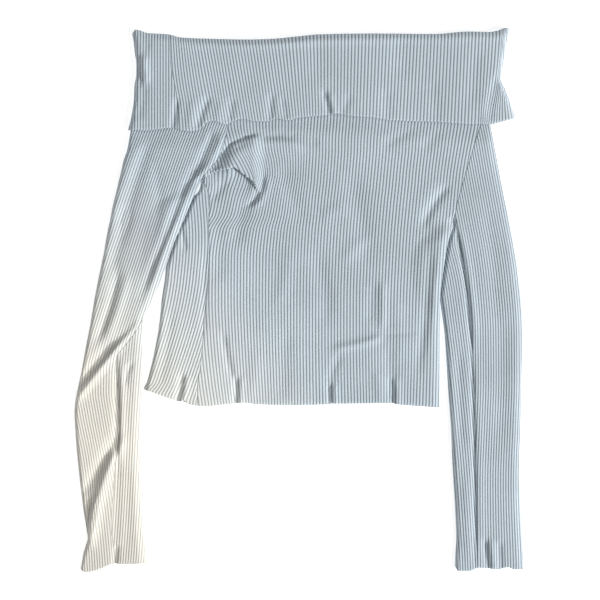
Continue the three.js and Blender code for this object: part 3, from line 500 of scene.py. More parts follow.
def raised(stand, lift):
    """The shape of a tube whose top layer stands off, and which is lifted by what it lies on."""
    def shape(x, y, z):
        share = ease(WALL, WALL + AIR, z)
        return x, y, z + stand(x, y) * share + lift(x, y) + STEP_UP * ease(*NECK_CLIMB, y)
    return shape


def left_seam_x(y):
    """x of the seam at the front's left side: the raglan seam, and below the underarm the side seam."""
    return np.where(y > LEFT_ARM, read(BODY, y, 1), read(SIDE_SEAMS, y, 1))


def tuck(x, y):
    """How far the tuck folds the front over itself: two shifts in the plane, and a height."""
    room = ease(*TUCK_ROOM, x - left_seam_x(y))
    fade, low = (room * ease(TUCK_TIP + a, TUCK_TIP + b, x) for a, b in (TUCK_FADE, TUCK_LOW))
    away = (y - read(TUCK_LINE, x)) / TUCK_BEND
    slide = TUCK_REACH * fade * TUCK_PEAK * away * np.exp(-away * away / 2)
    turn = ease(*TUCK_TURN, x)
    rise = TUCK_HEIGHT * low * ease(*TUCK_RISE, away) * ease(*TUCK_MOUTH, read(TUCK_TROUGH, x) - y)
    at_seam, above, below = TUCK_LEAN
    lean = mix(at_seam, np.where(away > 0, above, below), turn)
    return slide * lean, -slide * mix(*TUCK_DOWN, turn), rise


def front_surface(x, y):
    """The outside of the front's top layer, without its ribs."""
    dx, dy, rise = tuck(x, y)
    z = TUBE + body_loft(x, y) + body_lift(x, y) + STEP_UP * ease(*NECK_CLIMB, y) + rise
    return np.array([x + dx, y + dy, z])


def front_shape(x, y, z):
    """The front, with every point of its top layer carried along the cloth's own slope."""
    x, y, z = (np.asarray(v, float) for v in (x, y, z))
    flat_x, flat_y, flat_z = raised(body_loft, body_lift)(x, y, z)
    h = SLOPE_STEP
    middle = front_surface(x, y)
    across = front_surface(x + h, y) - front_surface(x - h, y)
    along = front_surface(x, y + h) - front_surface(x, y - h)
    normal = np.cross(across.T, along.T).T
    normal /= np.linalg.norm(normal, axis=0)
    carried = middle + (z - TUBE) * normal
    share = ease(*CARRIED_SEAM, x - left_seam_x(y)) * ease(*CARRIED_X, x) * ease(*CARRIED_Y, y)
    share = share * (z > TUBE / 2)
    return tuple(mix(a, b, share) for a, b in zip((flat_x, flat_y, flat_z), carried))


def collar_shape(x, y, z):
    """The collar, with its flap standing off and the ear at its right sinking to the ground."""
    share = ease(COLLAR - WALL - RIB_AIR, COLLAR - WALL, z)
    from_edge = np.minimum(x - read(COLLAR_EDGES, y, 1), read(COLLAR_EDGES, y, 2) - x)
    room = ease(*COLLAR_ROOM, from_edge) * ease(*FOLD_ROOM, read(TOP_FOLD, x) - y)
    stand = room * np.clip(COLLAR_STAND + folds_at(COLLAR_FOLDS, x, y), LEAST_STAND, MOST_STAND)
    drop = EAR_DROP * ease(*EAR_ROOM, x - read(COLLAR_EDGES, y, 3)) * ease(*EAR_HEIGHT, y)
    return x, y, z + stand * share - drop * np.clip((z - WALL) / (COLLAR - 2 * WALL), 0, 1)


# Flattened tubes, rows and walls. A ring is a tube's section at one y, and a row goes round it in
# runs: along its top, round a side, along its underside.

Run = namedtuple("Run", "slot side start end ribs", defaults=(None,))
Ring = namedtuple("Ring", "left right height")
Station = namedtuple("Station", "y line relief", defaults=(1,))
Piece = namedtuple("Piece", "at shape pitch")


def tube_point(ring, side, at, depth):
    """x and z of places on a flattened tube, at a depth into the cloth."""
    radius = ring.height / 2
    if side == "top":
        return at, ring.height - depth
    if side == "under":
        return at, depth + 0 * at
    reach = (radius - depth) * np.sin(np.pi * at)
    rise = (radius - depth) * np.cos(np.pi * at)
    if side == "right":
        return ring.right - radius + reach, radius + rise
    return ring.left + radius - reach, radius - rise


def places(run, y, ribbed):
    """Places along a run, their keys, and how far each stands out of the wall."""
    start, end = run.start, run.end
    if run.side == "under":
        keys = np.array([0, *UNDER_SHARES, 1])
        return mix(start, end, keys), keys, 0 * keys
    if run.side in ("left", "right"):
        steps = SIDE_STEPS if ribbed else INSIDE_STEPS
        shares = np.arange(1, steps) / steps
        keys = np.array([start, *shares[(shares > start) & (shares < end)], end])
        return keys, keys, 0 * keys
    first, last = rib_at(run.ribs, start, y), rib_at(run.ribs, end, y)
    whole = np.arange(math.floor(first) - 1, math.ceil(last) + 2)
    number = (whole[:, None] + (RIB_STEPS if ribbed else np.array([0.0]))).ravel()
    number = number[(number > first + RIB_CLEAR) & (number < last - RIB_CLEAR)]
    relief = 0 * number
    if ribbed:
        relief = RIB_OUT * np.cos(np.pi * (number - np.round(number))) ** RIB_ROUND
    at = np.concatenate(([start], rib_x(run.ribs, number, y), [end]))
    keys = np.concatenate(([first], number, [last]))
    return at, keys, np.concatenate(([0], np.abs(relief), [0]))


def rib_numbers(runs, spans, x, z, key, pitch):
    """Carries the rib numbers of the ribbed runs round the folds and along the underside."""
    step = np.concatenate(([0], np.hypot(np.diff(x), np.diff(z)))).cumsum() / pitch
    number = np.full(len(x), np.nan)
    for run, (a, b) in zip(runs, spans):
        if run.side == "top":
            number[a:b] = key[a:b]
        elif run.side != "under" and a and not np.isnan(number[a - 1]):
            number[a:b] = number[a - 1] + step[a:b] - step[a - 1]
    for run, (a, b) in reversed(list(zip(runs, spans))):
        if np.isnan(number[a]) and b < len(x):
            number[a:b] = number[b] - (step[b] - step[a:b])
    for run, (a, b) in zip(runs, spans):
        if np.isnan(number[a]):
            number[a:b] = (number[a - 1] if a else 0) + step[a:b] - step[a - 1 if a else a]
    return number


def make_row(piece, station, depth, ribbed):
    """One row round a piece: the order of its points, the points and their rib numbers."""
    ring, runs = piece.at(station)
    parts, spans, count = [], [], 0
    for i, run in enumerate(runs):
        at, key, relief = places(run, station.y, ribbed)
        relief = relief * station.relief
        skip = 1 if i else 0
        x, z = tube_point(ring, run.side, at[skip:], depth - relief[skip:])
        parts.append((x, z, key[skip:], run.slot * SLOT + key[skip:]))
        spans.append((count, count + len(x)))
        count += len(x)
    x, z, key, order = (np.concatenate(column) for column in zip(*parts))
    y = station.line(x) if station.line else np.full(len(x), float(station.y))
    number = rib_numbers(runs, spans, x, z, key, piece.pitch)
    return order, np.column_stack(piece.shape(x, y, z)), number


def zip_rows(a, b, faces):
    """Joins two rows of (order, first index) with triangles."""
    (key_a, base_a), (key_b, base_b) = a, b
    i = j = 0
    last_a, last_b = len(key_a) - 1, len(key_b) - 1
    while i < last_a or j < last_b:
        if j == last_b or (i < last_a and key_a[i + 1] <= key_b[j + 1]):
            faces.append((base_a + i, base_b + j, base_a + i + 1))
            i += 1
        else:
            faces.append((base_a + i, base_b + j, base_b + j + 1))
            j += 1


def closed_wall(outer, inner, lengths):
    """Zips outer and inner rows into one closed wall, with rib number and length for each point."""
    points, cloth, faces, sides, base = [], [], [], [], 0
    for rows in (outer, inner):
        kept = []
        for (order, xyz, number), length in zip(rows, lengths):
            kept.append((order.tolist(), base))
            points.append(xyz)
            cloth.append(np.column_stack((number, np.full(len(number), length))))
            base += len(number)
        sides.append(kept)
    out, inn = sides
    for k in range(len(out) - 1):
        zip_rows(out[k], out[k + 1], faces)
        zip_rows(inn[k + 1], inn[k], faces)
        a, b, c, d = out[k][1], out[k + 1][1], inn[k][1], inn[k + 1][1]
        faces += [(b, a, c), (b, c, d)]
        e, f, g, h = (
            first + len(order) - 1 for order, first in (out[k], out[k + 1], inn[k], inn[k + 1]))
        faces += [(e, f, h), (e, h, g)]
    zip_rows(inn[0], out[0], faces)
    zip_rows(out[-1], inn[-1], faces)
    return np.concatenate(points), np.concatenate(cloth), np.array(faces)


def face_out(points, faces):
    """Turns the faces of a closed mesh outwards."""
    p, q, r = (points[faces[:, i]] for i in range(3))
    volume = np.einsum("ij,ij->i", p, np.cross(q, r)).sum()
    return faces if volume > 0 else faces[:, ::-1]


def put(name, data):
    """A new object at the origin, in the scene."""
    thing = bpy.data.objects.new(name, data)
    bpy.context.scene.collection.objects.link(thing)
    return thing


def write_mesh(name, points, cloth, faces, material):
    """A plain mesh, with rib number and length as its UV map."""
    faces = face_out(points, faces)
    points = (points - (*CENTRE, 0)) * MM
    mesh = bpy.data.meshes.new(name)
    mesh.from_pydata(points.tolist(), [], faces.tolist())
    layer = mesh.uv_layers.new(name="cloth")
    layer.data.foreach_set("uv", cloth[faces.ravel()].ravel())
    mesh.polygons.foreach_set("use_smooth", np.ones(len(faces), bool))
    mesh.materials.append(material)
    mesh.update()
    return put(name, mesh)


# Where each piece's runs lie

def ring_at(table, y):
    return Ring(float(read(table, y, 1)), float(read(table, y, 2)), TUBE)


def hidden_seam(ring, y):
    """The side seam underneath, which leaves the fold at the underarm point."""
    fold = ring.right - TUBE / 2 - UNDER_CLEAR - UNDER_SLOPE * (RIGHT_ARM - y)
    return min(float(read(SIDE_SEAMS, y, 2)), fold)


def front_at(station):
    y, half = station.y, TUBE / 2
    ring = ring_at(BODY, y)
    runs = []
    start = float(read(SIDE_SEAMS, y, 1)) + SEAM / 2
    if y > LEFT_ARM:
        start = ring.left + SEAM / 2
    elif y == LEFT_ARM:
        runs.append(Run(0, "left", HIGH, 1))
        start = ring.left + half
    end = ring.right - (SEAM / 2 if y > RIGHT_ARM else half)
    runs.append(Run(1, "top", start, end, FRONT_RIBS))
    if y == RIGHT_ARM:
        runs.append(Run(2, "right", 0, LOW))
    elif y < RIGHT_ARM:
        runs.append(Run(2, "right", 0, 1))
        runs.append(Run(3, "under", end, hidden_seam(ring, y) + SEAM / 2))
    return ring, runs


def back_at(station):
    y, half = station.y, TUBE / 2
    ring = ring_at(BODY, y)
    runs = []
    start = hidden_seam(ring, y) - SEAM / 2
    if y > RIGHT_ARM:
        start = ring.right - SEAM / 2
    elif y == RIGHT_ARM:
        runs.append(Run(0, "right", HIGH, 1))
        start = ring.right - half
    end = ring.left + (SEAM / 2 if y > LEFT_ARM else half)
    runs.append(Run(1, "under", start, end))
    if y == LEFT_ARM:
        runs.append(Run(2, "left", 0, LOW))
    elif y < LEFT_ARM:
        runs.append(Run(2, "left", 0, 1))
        runs.append(Run(3, "top", end, float(read(SIDE_SEAMS, y, 1)) - SEAM / 2, STRIP_RIBS))
    return ring, runs


def left_at(station):
    y = station.y
    ring = ring_at(LEFT_SLEEVE, y)
    near, far = ring.right - TUBE / 2, ring.left + TUBE / 2
    if y > LEFT_ARM:
        edge = ring.right - SEAM / 2
        return ring, [
            Run(2, "under", edge, far), Run(3, "left", 0, 1), Run(4, "top", far, edge, LEFT_RIBS)]
    round_back = [Run(2, "under", near, far), Run(3, "left", 0, 1)]
    if y > ELBOW:
        return ring, [
            Run(1, "right", HIGH, 1), *round_back, Run(4, "top", far, near, LEFT_RIBS),
            Run(5, "right", 0, LOW)]
    seam = float(read(LEFT_SEAM, y))
    return ring, [
        Run(0, "top", seam + SEAM / 2, near, LEFT_INNER_RIBS), Run(1, "right", 0, 1), *round_back,
        Run(4, "top", far, seam - SEAM / 2, LEFT_RIBS)]


def right_at(station):
    y = station.y
    ring = ring_at(RIGHT_SLEEVE, y)
    near, far = ring.left + TUBE / 2, ring.right - TUBE / 2
    if y > RIGHT_ARM:
        edge = ring.left + SEAM / 2
        return ring, [
            Run(1, "top", edge, far, RIGHT_RIBS), Run(2, "right", 0, 1), Run(3, "under", far, edge)]
    round_back = [Run(2, "right", 0, 1), Run(3, "under", far, near)]
    if y == RIGHT_ARM:
        return ring, [
            Run(0, "left", HIGH, 1), Run(1, "top", near, far, RIGHT_RIBS), *round_back,
            Run(4, "left", 0, LOW)]
    seam = float(read(RIGHT_SEAM, y))
    return ring, [
        Run(1, "top", seam + SEAM / 2, far, RIGHT_RIBS), *round_back, Run(4, "left", 0, 1),
        Run(5, "top", near, seam - SEAM / 2, RIGHT_INNER_RIBS)]


def line_at(station, x):
    return float(station.line(np.array([x]))[0])


def collar_ring(station, inside):
    """The collar's section, whose right end moves in from the flap to the layer inside."""
    y_left, y_right = (line_at(station, x) for x in COLLAR_ENDS)
    right = mix(read(COLLAR_EDGES, y_right, 2), read(COLLAR_EDGES, y_right, 3), inside)
    return Ring(float(read(COLLAR_EDGES, y_left, 1)), float(right), COLLAR)


def collar_seam(station):
    return float(read(COLLAR_SEAM, line_at(station, COLLAR_SEAM_AT)))


def collar_front_at(inside):
    def at(station):
        ring = collar_ring(station, inside)
        end = ring.right - COLLAR / 2
        return ring, [
            Run(1, "top", collar_seam(station) + SEAM / 2, end, FLAP_RIBS), Run(2, "right", 0, 1),
            Run(3, "under", end, HIDDEN_SEAM + SEAM / 2)]
    return at


def collar_back_at(inside):
    def at(station):
        ring = collar_ring(station, inside)
        end = ring.left + COLLAR / 2
        return ring, [
            Run(1, "under", HIDDEN_SEAM - SEAM / 2, end), Run(2, "left", 0, 1),
            Run(3, "top", end, collar_seam(station) - SEAM / 2, FLAP_LEFT_RIBS)]
    return at


# Making the pieces

def spaced(start, end, step):
    return np.linspace(start, end, max(2, int(round(abs(end - start) / step)) + 1))


def tube_stations(arms, ends, edge, step, close=()):
    """Rows from the neckline down, exact at the underarms. The last ones turn into the edge's line."""
    stop, edge_y = ends
    marks = sorted({NECK, *arms, stop, *close}, reverse=True)
    rows = []
    for a, b in zip(marks, marks[1:]):
        rows += list(spaced(a, b, step / 2 if close and close[1] <= b < close[0] else step)[:-1])
    stations = [Station(float(y), None) for y in (*rows, stop)]
    for t in EDGE_SHARES:
        line = (lambda x, t=t: mix(stop, read(edge, x), t))
        stations.append(Station(mix(stop, edge_y, t), line, 1 if t < 1 else EDGE_RELIEF))
    return stations


def tube_piece(name, at, shape, stations, pitch, material):
    piece = Piece(at, shape, pitch)
    outer = [make_row(piece, s, 0, s.y < NECK) for s in stations]
    inner = [make_row(piece, s, WALL, False) for s in stations]
    points, cloth, faces = closed_wall(outer, inner, [s.y for s in stations])
    return write_mesh(name, points, cloth, faces, material), outer, inner


def collar_stations(step):
    """The collar's rows: up the flap, over the top fold, down the layer inside.

    Each has its outer and inner line, their depths, how far inside it is and whether it has ribs.
    """
    def base(x):
        return read(TOP_FOLD, x) - TURN

    found = []
    for t in (0, 0.01, *np.linspace(0.03, 1, int(FLAP_DEPTH / step))):
        line = (lambda x, t=t: mix(read(FLAP_EDGE, x), base(x), t))
        found.append((line, line, 0.0, WALL, 0.0, True))
    for t in np.linspace(0, 1, TURN_STEPS)[1:]:
        out, up = math.cos(math.pi * t), math.sin(math.pi * t)
        found.append((
            lambda x, up=up: base(x) + TURN * up, lambda x, up=up: base(x) + RIB_AIR / 2 * up,
            TURN - TURN * out, TURN - RIB_AIR / 2 * out, t, t < TURN_RIBBED))
    for t in np.linspace(0, 1, int(INSIDE_DEPTH / (2 * step)))[1:]:
        line = (lambda x, t=t: mix(base(x), NECK + SEAM, t))
        found.append((line, line, 2 * TURN, WALL + RIB_AIR, 1.0, False))
    return found


def collar_piece(name, at, step, pitch, material):
    outer, inner, lengths = [], [], []
    for line, inner_line, out_depth, in_depth, inside, ribbed in collar_stations(step):
        y = float(line(np.array([COLLAR_MIDDLE]))[0])
        piece = Piece(at(inside), collar_shape, pitch)
        relief = 1 if outer else EDGE_RELIEF
        outer.append(make_row(piece, Station(y, line, relief), out_depth, ribbed))
        inner.append(make_row(piece, Station(y, inner_line), in_depth, False))
        lengths.append(-y if inside < 0.5 else y - COLLAR_LENGTH)
    points, cloth, faces = closed_wall(outer, inner, lengths)
    return write_mesh(name, points, cloth, faces, material), outer, inner


# Shader node groups and materials

def linear(srgb):
    """A colour as seen on a screen, 0 to 255, as the light values that nodes take."""
    shares = (v / 255 for v in srgb)
    return (*(c / 12.92 if c <= 0.04045 else ((c + 0.055) / 1.055) ** 2.4 for c in shares), 1)


def add(tree, kind, inputs=None, **settings):
    """A node with its settings and inputs: a value is set, a socket is linked."""
    node = tree.nodes.new(kind)
    for name, value in settings.items():
        setattr(node, name, value)
    for key, value in (inputs or {}).items():
        if isinstance(value, bpy.types.NodeSocket):
            tree.links.new(value, node.inputs[key])
        else:
            node.inputs[key].default_value = value
    return node


def maths(tree, operation, *values, clamp=False):
    inputs = dict(enumerate(values))
    return add(tree, "ShaderNodeMath", inputs, operation=operation, use_clamp=clamp).outputs[0]


def shader_group(name, inputs, outputs):
    group = bpy.data.node_groups.new(name, "ShaderNodeTree")
    for label, kind, default in inputs:
        socket = group.interface.new_socket(label, in_out="INPUT", socket_type=kind)
        if default is not None:
            socket.default_value = default
    for label, kind in outputs:
        group.interface.new_socket(label, in_out="OUTPUT", socket_type=kind)
    return group, group.nodes.new("NodeGroupInput"), group.nodes.new("NodeGroupOutput")


def rib_shade_group():
    """Painted shade in the hollow between two ribs, from the cloth's own rib number."""
    group, given, result = shader_group(
        "Rib painted shade",
        [("Cloth", "NodeSocketVector", None), ("Width", "NodeSocketFloat", 0.45),
         ("Wander", "NodeSocketFloat", 0.05)],
        [("Valley", "NodeSocketFloat")])
    uv = add(group, "ShaderNodeSeparateXYZ", {"Vector": given.outputs["Cloth"]})
    stretch = add(
        group, "ShaderNodeVectorMath", {0: given.outputs["Cloth"], 1: (0.35, 0.05, 0)},
        operation="MULTIPLY")
    noise = add(
        group, "ShaderNodeTexNoise", {"Vector": stretch.outputs[0], "Scale": 1.0, "Detail": 2.0})
    centred = maths(group, "SUBTRACT", noise.outputs["Fac"], 0.5)
    drift = maths(group, "MULTIPLY", centred, given.outputs["Wander"])
    place = maths(group, "PINGPONG", maths(group, "ADD", uv.outputs["X"], drift), 0.5)
    edge = maths(group, "SUBTRACT", 0.5, given.outputs["Width"])
    past = maths(group, "SUBTRACT", place, edge)
    share = maths(group, "DIVIDE", past, given.outputs["Width"], clamp=True)
    soft = maths(group, "SMOOTH_MIN", maths(group, "POWER", share, 1.6), 1.0, 0.1)
    group.links.new(soft, result.inputs["Valley"])
    return group


def knit_stitches_group():
    """Rows of V stitches along each rib, as a height and a faint painted shade in their dips."""
    group, given, result = shader_group(
        "Knit stitches",
        [("Cloth", "NodeSocketVector", None), ("Course", "NodeSocketFloat", 1.7),
         ("Slant", "NodeSocketFloat", 1.6)],
        [("Height", "NodeSocketFloat"), ("Shade", "NodeSocketFloat")])
    uv = add(group, "ShaderNodeSeparateXYZ", {"Vector": given.outputs["Cloth"]})
    across = maths(group, "PINGPONG", uv.outputs["X"], 0.5)
    rows = maths(group, "DIVIDE", uv.outputs["Y"], given.outputs["Course"])
    phase = maths(group, "ADD", rows, maths(group, "MULTIPLY", across, given.outputs["Slant"]))
    wave = maths(group, "SINE", maths(group, "MULTIPLY", phase, 2 * math.pi))
    height = maths(group, "MULTIPLY_ADD", wave, 0.5, 0.5)
    group.links.new(height, result.inputs["Height"])
    group.links.new(maths(group, "SUBTRACT", 1.0, height), result.inputs["Shade"])
    return group


def yarn_group():
    """Fuzz and uneven dye of the yarn, in the object's own space."""
    group, given, result = shader_group(
        "Yarn",
        [("Place", "NodeSocketVector", None), ("Fuzz size", "NodeSocketFloat", 1400.0),
         ("Cloud size", "NodeSocketFloat", 14.0)],
        [("Fuzz", "NodeSocketFloat"), ("Cloud", "NodeSocketFloat")])
    for label, size, detail in (("Fuzz", "Fuzz size", 3.0), ("Cloud", "Cloud size", 2.0)):
        noise = add(group, "ShaderNodeTexNoise", {
            "Vector": given.outputs["Place"], "Scale": given.outputs[size], "Detail": detail})
        group.links.new(noise.outputs["Fac"], result.inputs[label])
    return group


def mixed(tree, share, a, b, blend="MIX"):
    """One colour mixed with another."""
    inputs = {"Factor": share, 6: a, 7: b}
    return add(tree, "ShaderNodeMix", inputs, data_type="RGBA", blend_type=blend).outputs[2]


def ranged(tree, value, start, end, low, high):
    """A value stretched from one range to another."""
    return add(tree, "ShaderNodeMapRange", {
        "Value": value, "From Min": start, "From Max": end, "To Min": low, "To Max": high}).outputs[0]


def placed_group(tree, name, build, inputs):
    """The outputs of a shared group, which is built once."""
    group = bpy.data.node_groups.get(name) or build()
    return add(tree, "ShaderNodeGroup", inputs, node_tree=group).outputs


def new_material(name):
    material = bpy.data.materials.new(name)
    material.use_nodes = True
    material.node_tree.nodes.clear()
    return material, material.node_tree


def finish_material(tree, colour, height, strength, depth, surface):
    """A bump, the shader and its output."""
    bump = add(tree, "ShaderNodeBump", {"Strength": strength, "Distance": depth, "Height": height})
    shader = add(tree, "ShaderNodeBsdfPrincipled", {
        "Base Color": colour, **surface, "Normal": bump.outputs[0]})
    out = add(tree, "ShaderNodeOutputMaterial")
    tree.links.new(shader.outputs[0], out.inputs["Surface"])


def knit_material(name, crest, valley):
    """Rib knit: pale crests, painted shade between them, stitches with a faint painted shade in their
    dips, fuzz, a soft sheen and painted warm light towards the left cuff.
    """
    material, tree = new_material(name)
    cloth = add(tree, "ShaderNodeUVMap", uv_map="cloth").outputs["UV"]
    place = add(tree, "ShaderNodeTexCoord").outputs["Object"]
    lines = placed_group(tree, "Rib painted shade", rib_shade_group, {"Cloth": cloth, "Width": RIB_SHADE_WIDTH})
    stitches = placed_group(tree, "Knit stitches", knit_stitches_group, {"Cloth": cloth})
    yarn = placed_group(tree, "Yarn", yarn_group, {"Place": place})
    # Painted warm light: crest and line colours turn warm and pale towards the left cuff
    to_cuff = add(tree, "ShaderNodeVectorMath", {0: place, 1: WARM_LIGHT_WAY}, operation="DOT_PRODUCT")
    share = ranged(tree, to_cuff.outputs["Value"], WARM_LIGHT_FROM, WARM_LIGHT_TO, 0.0, 1.0)
    crest = mixed(tree, share, linear(crest), linear(PAINTED_WARM_LIGHT))
    valley = mixed(tree, share, linear(valley), linear(WARM_LIGHT_RIB_SHADE))
    # Painted shade: the line colour darkens the hollows between the ribs
    colour = mixed(tree, lines["Valley"], crest, valley)
    # Faint painted shade in the dips between stitches
    colour = mixed(tree, maths(tree, "MULTIPLY", stitches["Shade"], 0.10), colour, STITCH_SHADE)
    cloud = ranged(tree, yarn["Cloud"], 0.3, 0.7, 0.94, 1.04)
    fuzz = ranged(tree, yarn["Fuzz"], 0.3, 0.7, 0.9, 1.08)
    tone = maths(tree, "MULTIPLY", cloud, fuzz)
    grey = add(tree, "ShaderNodeCombineColor", {0: tone, 1: tone, 2: tone}).outputs[0]
    colour = mixed(tree, 1.0, colour, grey, "MULTIPLY")
    fibre = maths(tree, "MULTIPLY", yarn["Fuzz"], 0.7)
    height = maths(tree, "MULTIPLY_ADD", stitches["Height"], 0.5, fibre)
    finish_material(tree, colour, height, 0.45, 0.0002, {
        "Roughness": 0.92, "Sheen Weight": 0.08, "Sheen Roughness": 0.5, "Specular IOR Level": 0.2})
    return material


def thread_material():
    """Sewing thread of the overlocked edges."""
    material, tree = new_material("overlock thread")
    place = add(tree, "ShaderNodeTexCoord").outputs["Object"]
    fuzz = placed_group(tree, "Yarn", yarn_group, {"Place": place, "Fuzz size": 2200.0})["Fuzz"]
    colour = mixed(tree, fuzz, linear(THREAD_DARK), linear(THREAD_PALE))
    finish_material(tree, colour, fuzz, 0.3, 0.0001, {"Roughness": 0.8, "Sheen Weight": 0.2})
    return material


# Overlock stitches along an edge, by Geometry Nodes

def overlock_tree():
    """Small loops of thread over an edge, which the curve follows."""
    tree = bpy.data.node_groups.new("Overlock stitches", "GeometryNodeTree")
    face = tree.interface
    face.new_socket("Geometry", in_out="INPUT", socket_type="NodeSocketGeometry")
    sizes = (("Spacing", 0.0016), ("Thread", 0.0005), ("Reach", 0.0009), ("Height", 0.0009))
    for label, default in sizes:
        face.new_socket(label, in_out="INPUT", socket_type="NodeSocketFloat").default_value = default
    face.new_socket("Seed", in_out="INPUT", socket_type="NodeSocketInt").default_value = 7
    face.new_socket("Material", in_out="INPUT", socket_type="NodeSocketMaterial")
    face.new_socket("Geometry", in_out="OUTPUT", socket_type="NodeSocketGeometry")
    given, result = tree.nodes.new("NodeGroupInput"), tree.nodes.new("NodeGroupOutput")
    size = given.outputs
    path = add(tree, "GeometryNodeResampleCurve", {
        "Curve": size["Geometry"], "Length": size["Spacing"]}, mode="LENGTH")
    skew = maths(tree, "MULTIPLY", size["Spacing"], 0.4)
    over = add(tree, "ShaderNodeCombineXYZ", {0: skew, 1: size["Reach"], 2: size["Height"]})
    round_edge = add(tree, "ShaderNodeCombineXYZ", {1: maths(tree, "MULTIPLY", size["Reach"], -1.5)})
    under = add(tree, "ShaderNodeCombineXYZ", {
        0: maths(tree, "MULTIPLY", skew, -1.0), 1: size["Reach"],
        2: maths(tree, "MULTIPLY", size["Height"], -0.75)})
    loop = add(tree, "GeometryNodeCurveQuadraticBezier", {
        "Resolution": 6, "Start": over.outputs[0], "Middle": round_edge.outputs[0],
        "End": under.outputs[0]})
    thread = add(tree, "GeometryNodeCurvePrimitiveCircle", {
        "Resolution": 5, "Radius": maths(tree, "MULTIPLY", size["Thread"], 0.5)})
    stitch = add(tree, "GeometryNodeCurveToMesh", {
        "Curve": loop.outputs[0], "Profile Curve": thread.outputs[0], "Fill Caps": True})
    along = add(tree, "FunctionNodeAlignRotationToVector", {
        "Vector": tree.nodes.new("GeometryNodeInputTangent").outputs[0]}, axis="X", pivot_axis="Z")
    chance = add(tree, "FunctionNodeRandomValue", {
        0: (-0.1, -0.1, -0.25), 1: (0.1, 0.1, 0.25), "Seed": size["Seed"]}, data_type="FLOAT_VECTOR")
    lean = add(tree, "FunctionNodeEulerToRotation", {0: chance.outputs[0]})
    turn = add(tree, "FunctionNodeRotateRotation", {
        "Rotation": along.outputs[0], "Rotate By": lean.outputs[0]}, rotation_space="LOCAL")
    placed = add(tree, "GeometryNodeInstanceOnPoints", {
        "Points": path.outputs[0], "Instance": stitch.outputs[0], "Rotation": turn.outputs[0]})
    real = add(tree, "GeometryNodeRealizeInstances", {0: placed.outputs[0]})
    smooth = add(tree, "GeometryNodeSetShadeSmooth", {0: real.outputs[0]})
    painted = add(tree, "GeometryNodeSetMaterial", {
        "Geometry": smooth.outputs[0], "Material": size["Material"]})
    tree.links.new(painted.outputs[0], result.inputs[0])
    return tree


def stitched_edge(name, path, settings, seed):
    """Stitches along a path of points, as a plain mesh."""
    curve = bpy.data.curves.new(name + "_path", "CURVE")
    curve.dimensions = "3D"
    spline = curve.splines.new("POLY")
    points = (path - (*CENTRE, 0)) * MM
    spline.points.add(len(points) - 1)
    spline.points.foreach_set("co", np.column_stack((points, np.ones(len(points)))).ravel())
    carrier = put(name + "_path", curve)
    tree = bpy.data.node_groups.get("Overlock stitches") or overlock_tree()
    modifier = carrier.modifiers.new("stitches", "NODES")
    modifier.node_group = tree
    ids = {s.name: s.identifier for s in tree.interface.items_tree if s.in_out == "INPUT"}
    modifier[ids["Spacing"]] = settings.stitch_spacing
    modifier[ids["Seed"]] = seed
    modifier[ids["Material"]] = bpy.data.materials.get("overlock thread") or thread_material()
    depsgraph = bpy.context.evaluated_depsgraph_get()
    mesh = bpy.data.meshes.new_from_object(carrier.evaluated_get(depsgraph))
    bpy.data.objects.remove(carrier)
    return put(name, mesh)


def on_run(row, slot):
    """The points of a row that belong to one run."""
    order, points, _ = row
    low, high = (slot * SLOT + part for part in SLOT_PART)
    return points[(order >= low) & (order < high)]


def edge_path(outer, inner, slot):
    """The middle of a free edge: halfway between the outer and the inner row on one run."""
    path, under = on_run(outer, slot), on_run(inner, slot)
    below = np.interp(path[:, 0], under[:, 0], under[:, 2])
    return np.column_stack((path[:, :2], (path[:, 2] + below) / 2))


# Settings, operators and panel

class OffShoulderTopSettings(bpy.types.PropertyGroup):
    """Sizes and colours that a user may change"""
    row_step: bpy.props.FloatProperty(
        name="Row spacing", description="Distance between two rows of points, in millimetres",
        default=3.0)
    crest: bpy.props.FloatVectorProperty(
        name="Rib colour", description="Colour of the ribs, 0 to 255", size=3, default=RIB_COLOUR)
    # Colour of the painted shade between the ribs
    valley: bpy.props.FloatVectorProperty(
        name="Painted rib shade colour", description="Painted shade between the ribs, 0 to 255", size=3,
        default=RIB_SHADE_COLOUR)
    stitch_spacing: bpy.props.FloatProperty(
        name="Stitch spacing", description="Distance between two overlock stitches", default=0.0016,
        unit="LENGTH", precision=4)


def settings_of(context):
    return context.scene.off_shoulder_top


def knit_for(context, name):
    given = settings_of(context)
    return knit_material(name, tuple(given.crest), tuple(given.valley))


def dress(piece, node, flat, area, rests_on, trims):
    """Attaches the piece and its trims to the root, and hides the part it stands for."""
    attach(piece, "root")
    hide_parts(node)
    for trim in trims:
        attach(trim, "root")
    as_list(rests_on)


class TOP_OT_body(bpy.types.Operator):
    """Makes the front and the back of the body"""
    bl_idname = "top.body"
    bl_label = "Body"

    def execute(self, context):
        given = settings_of(context)
        rows = (
            ("front", front_at, front_shape, TUCK_ROWS, 1, 11,
             (0.35, 0.36), 0.114, ["back_panel_cloth", "right_sleeve_cloth"]),
            ("back", back_at, raised(body_loft, body_lift), (), 3, 12,
             (0.385, 0.36), 0.124, ["collar_back_cloth"]),
        )
        for name, at, shape, close, slot, seed, flat, area, rests_on in rows:
            stations = tube_stations((LEFT_ARM, RIGHT_ARM), HEM_ROWS, HEM, given.row_step, close)
            piece, outer, inner = tube_piece(
                name + "_panel_cloth", at, shape, stations, PITCH_BODY,
                knit_for(context, name + " knit"))
            path = edge_path(outer[-1], inner[-1], slot)
            hem = stitched_edge(name + "_hem_stitches", path, given, seed)
            dress(piece, name + "_panel", flat, area, rests_on, [hem])
        return {"FINISHED"}


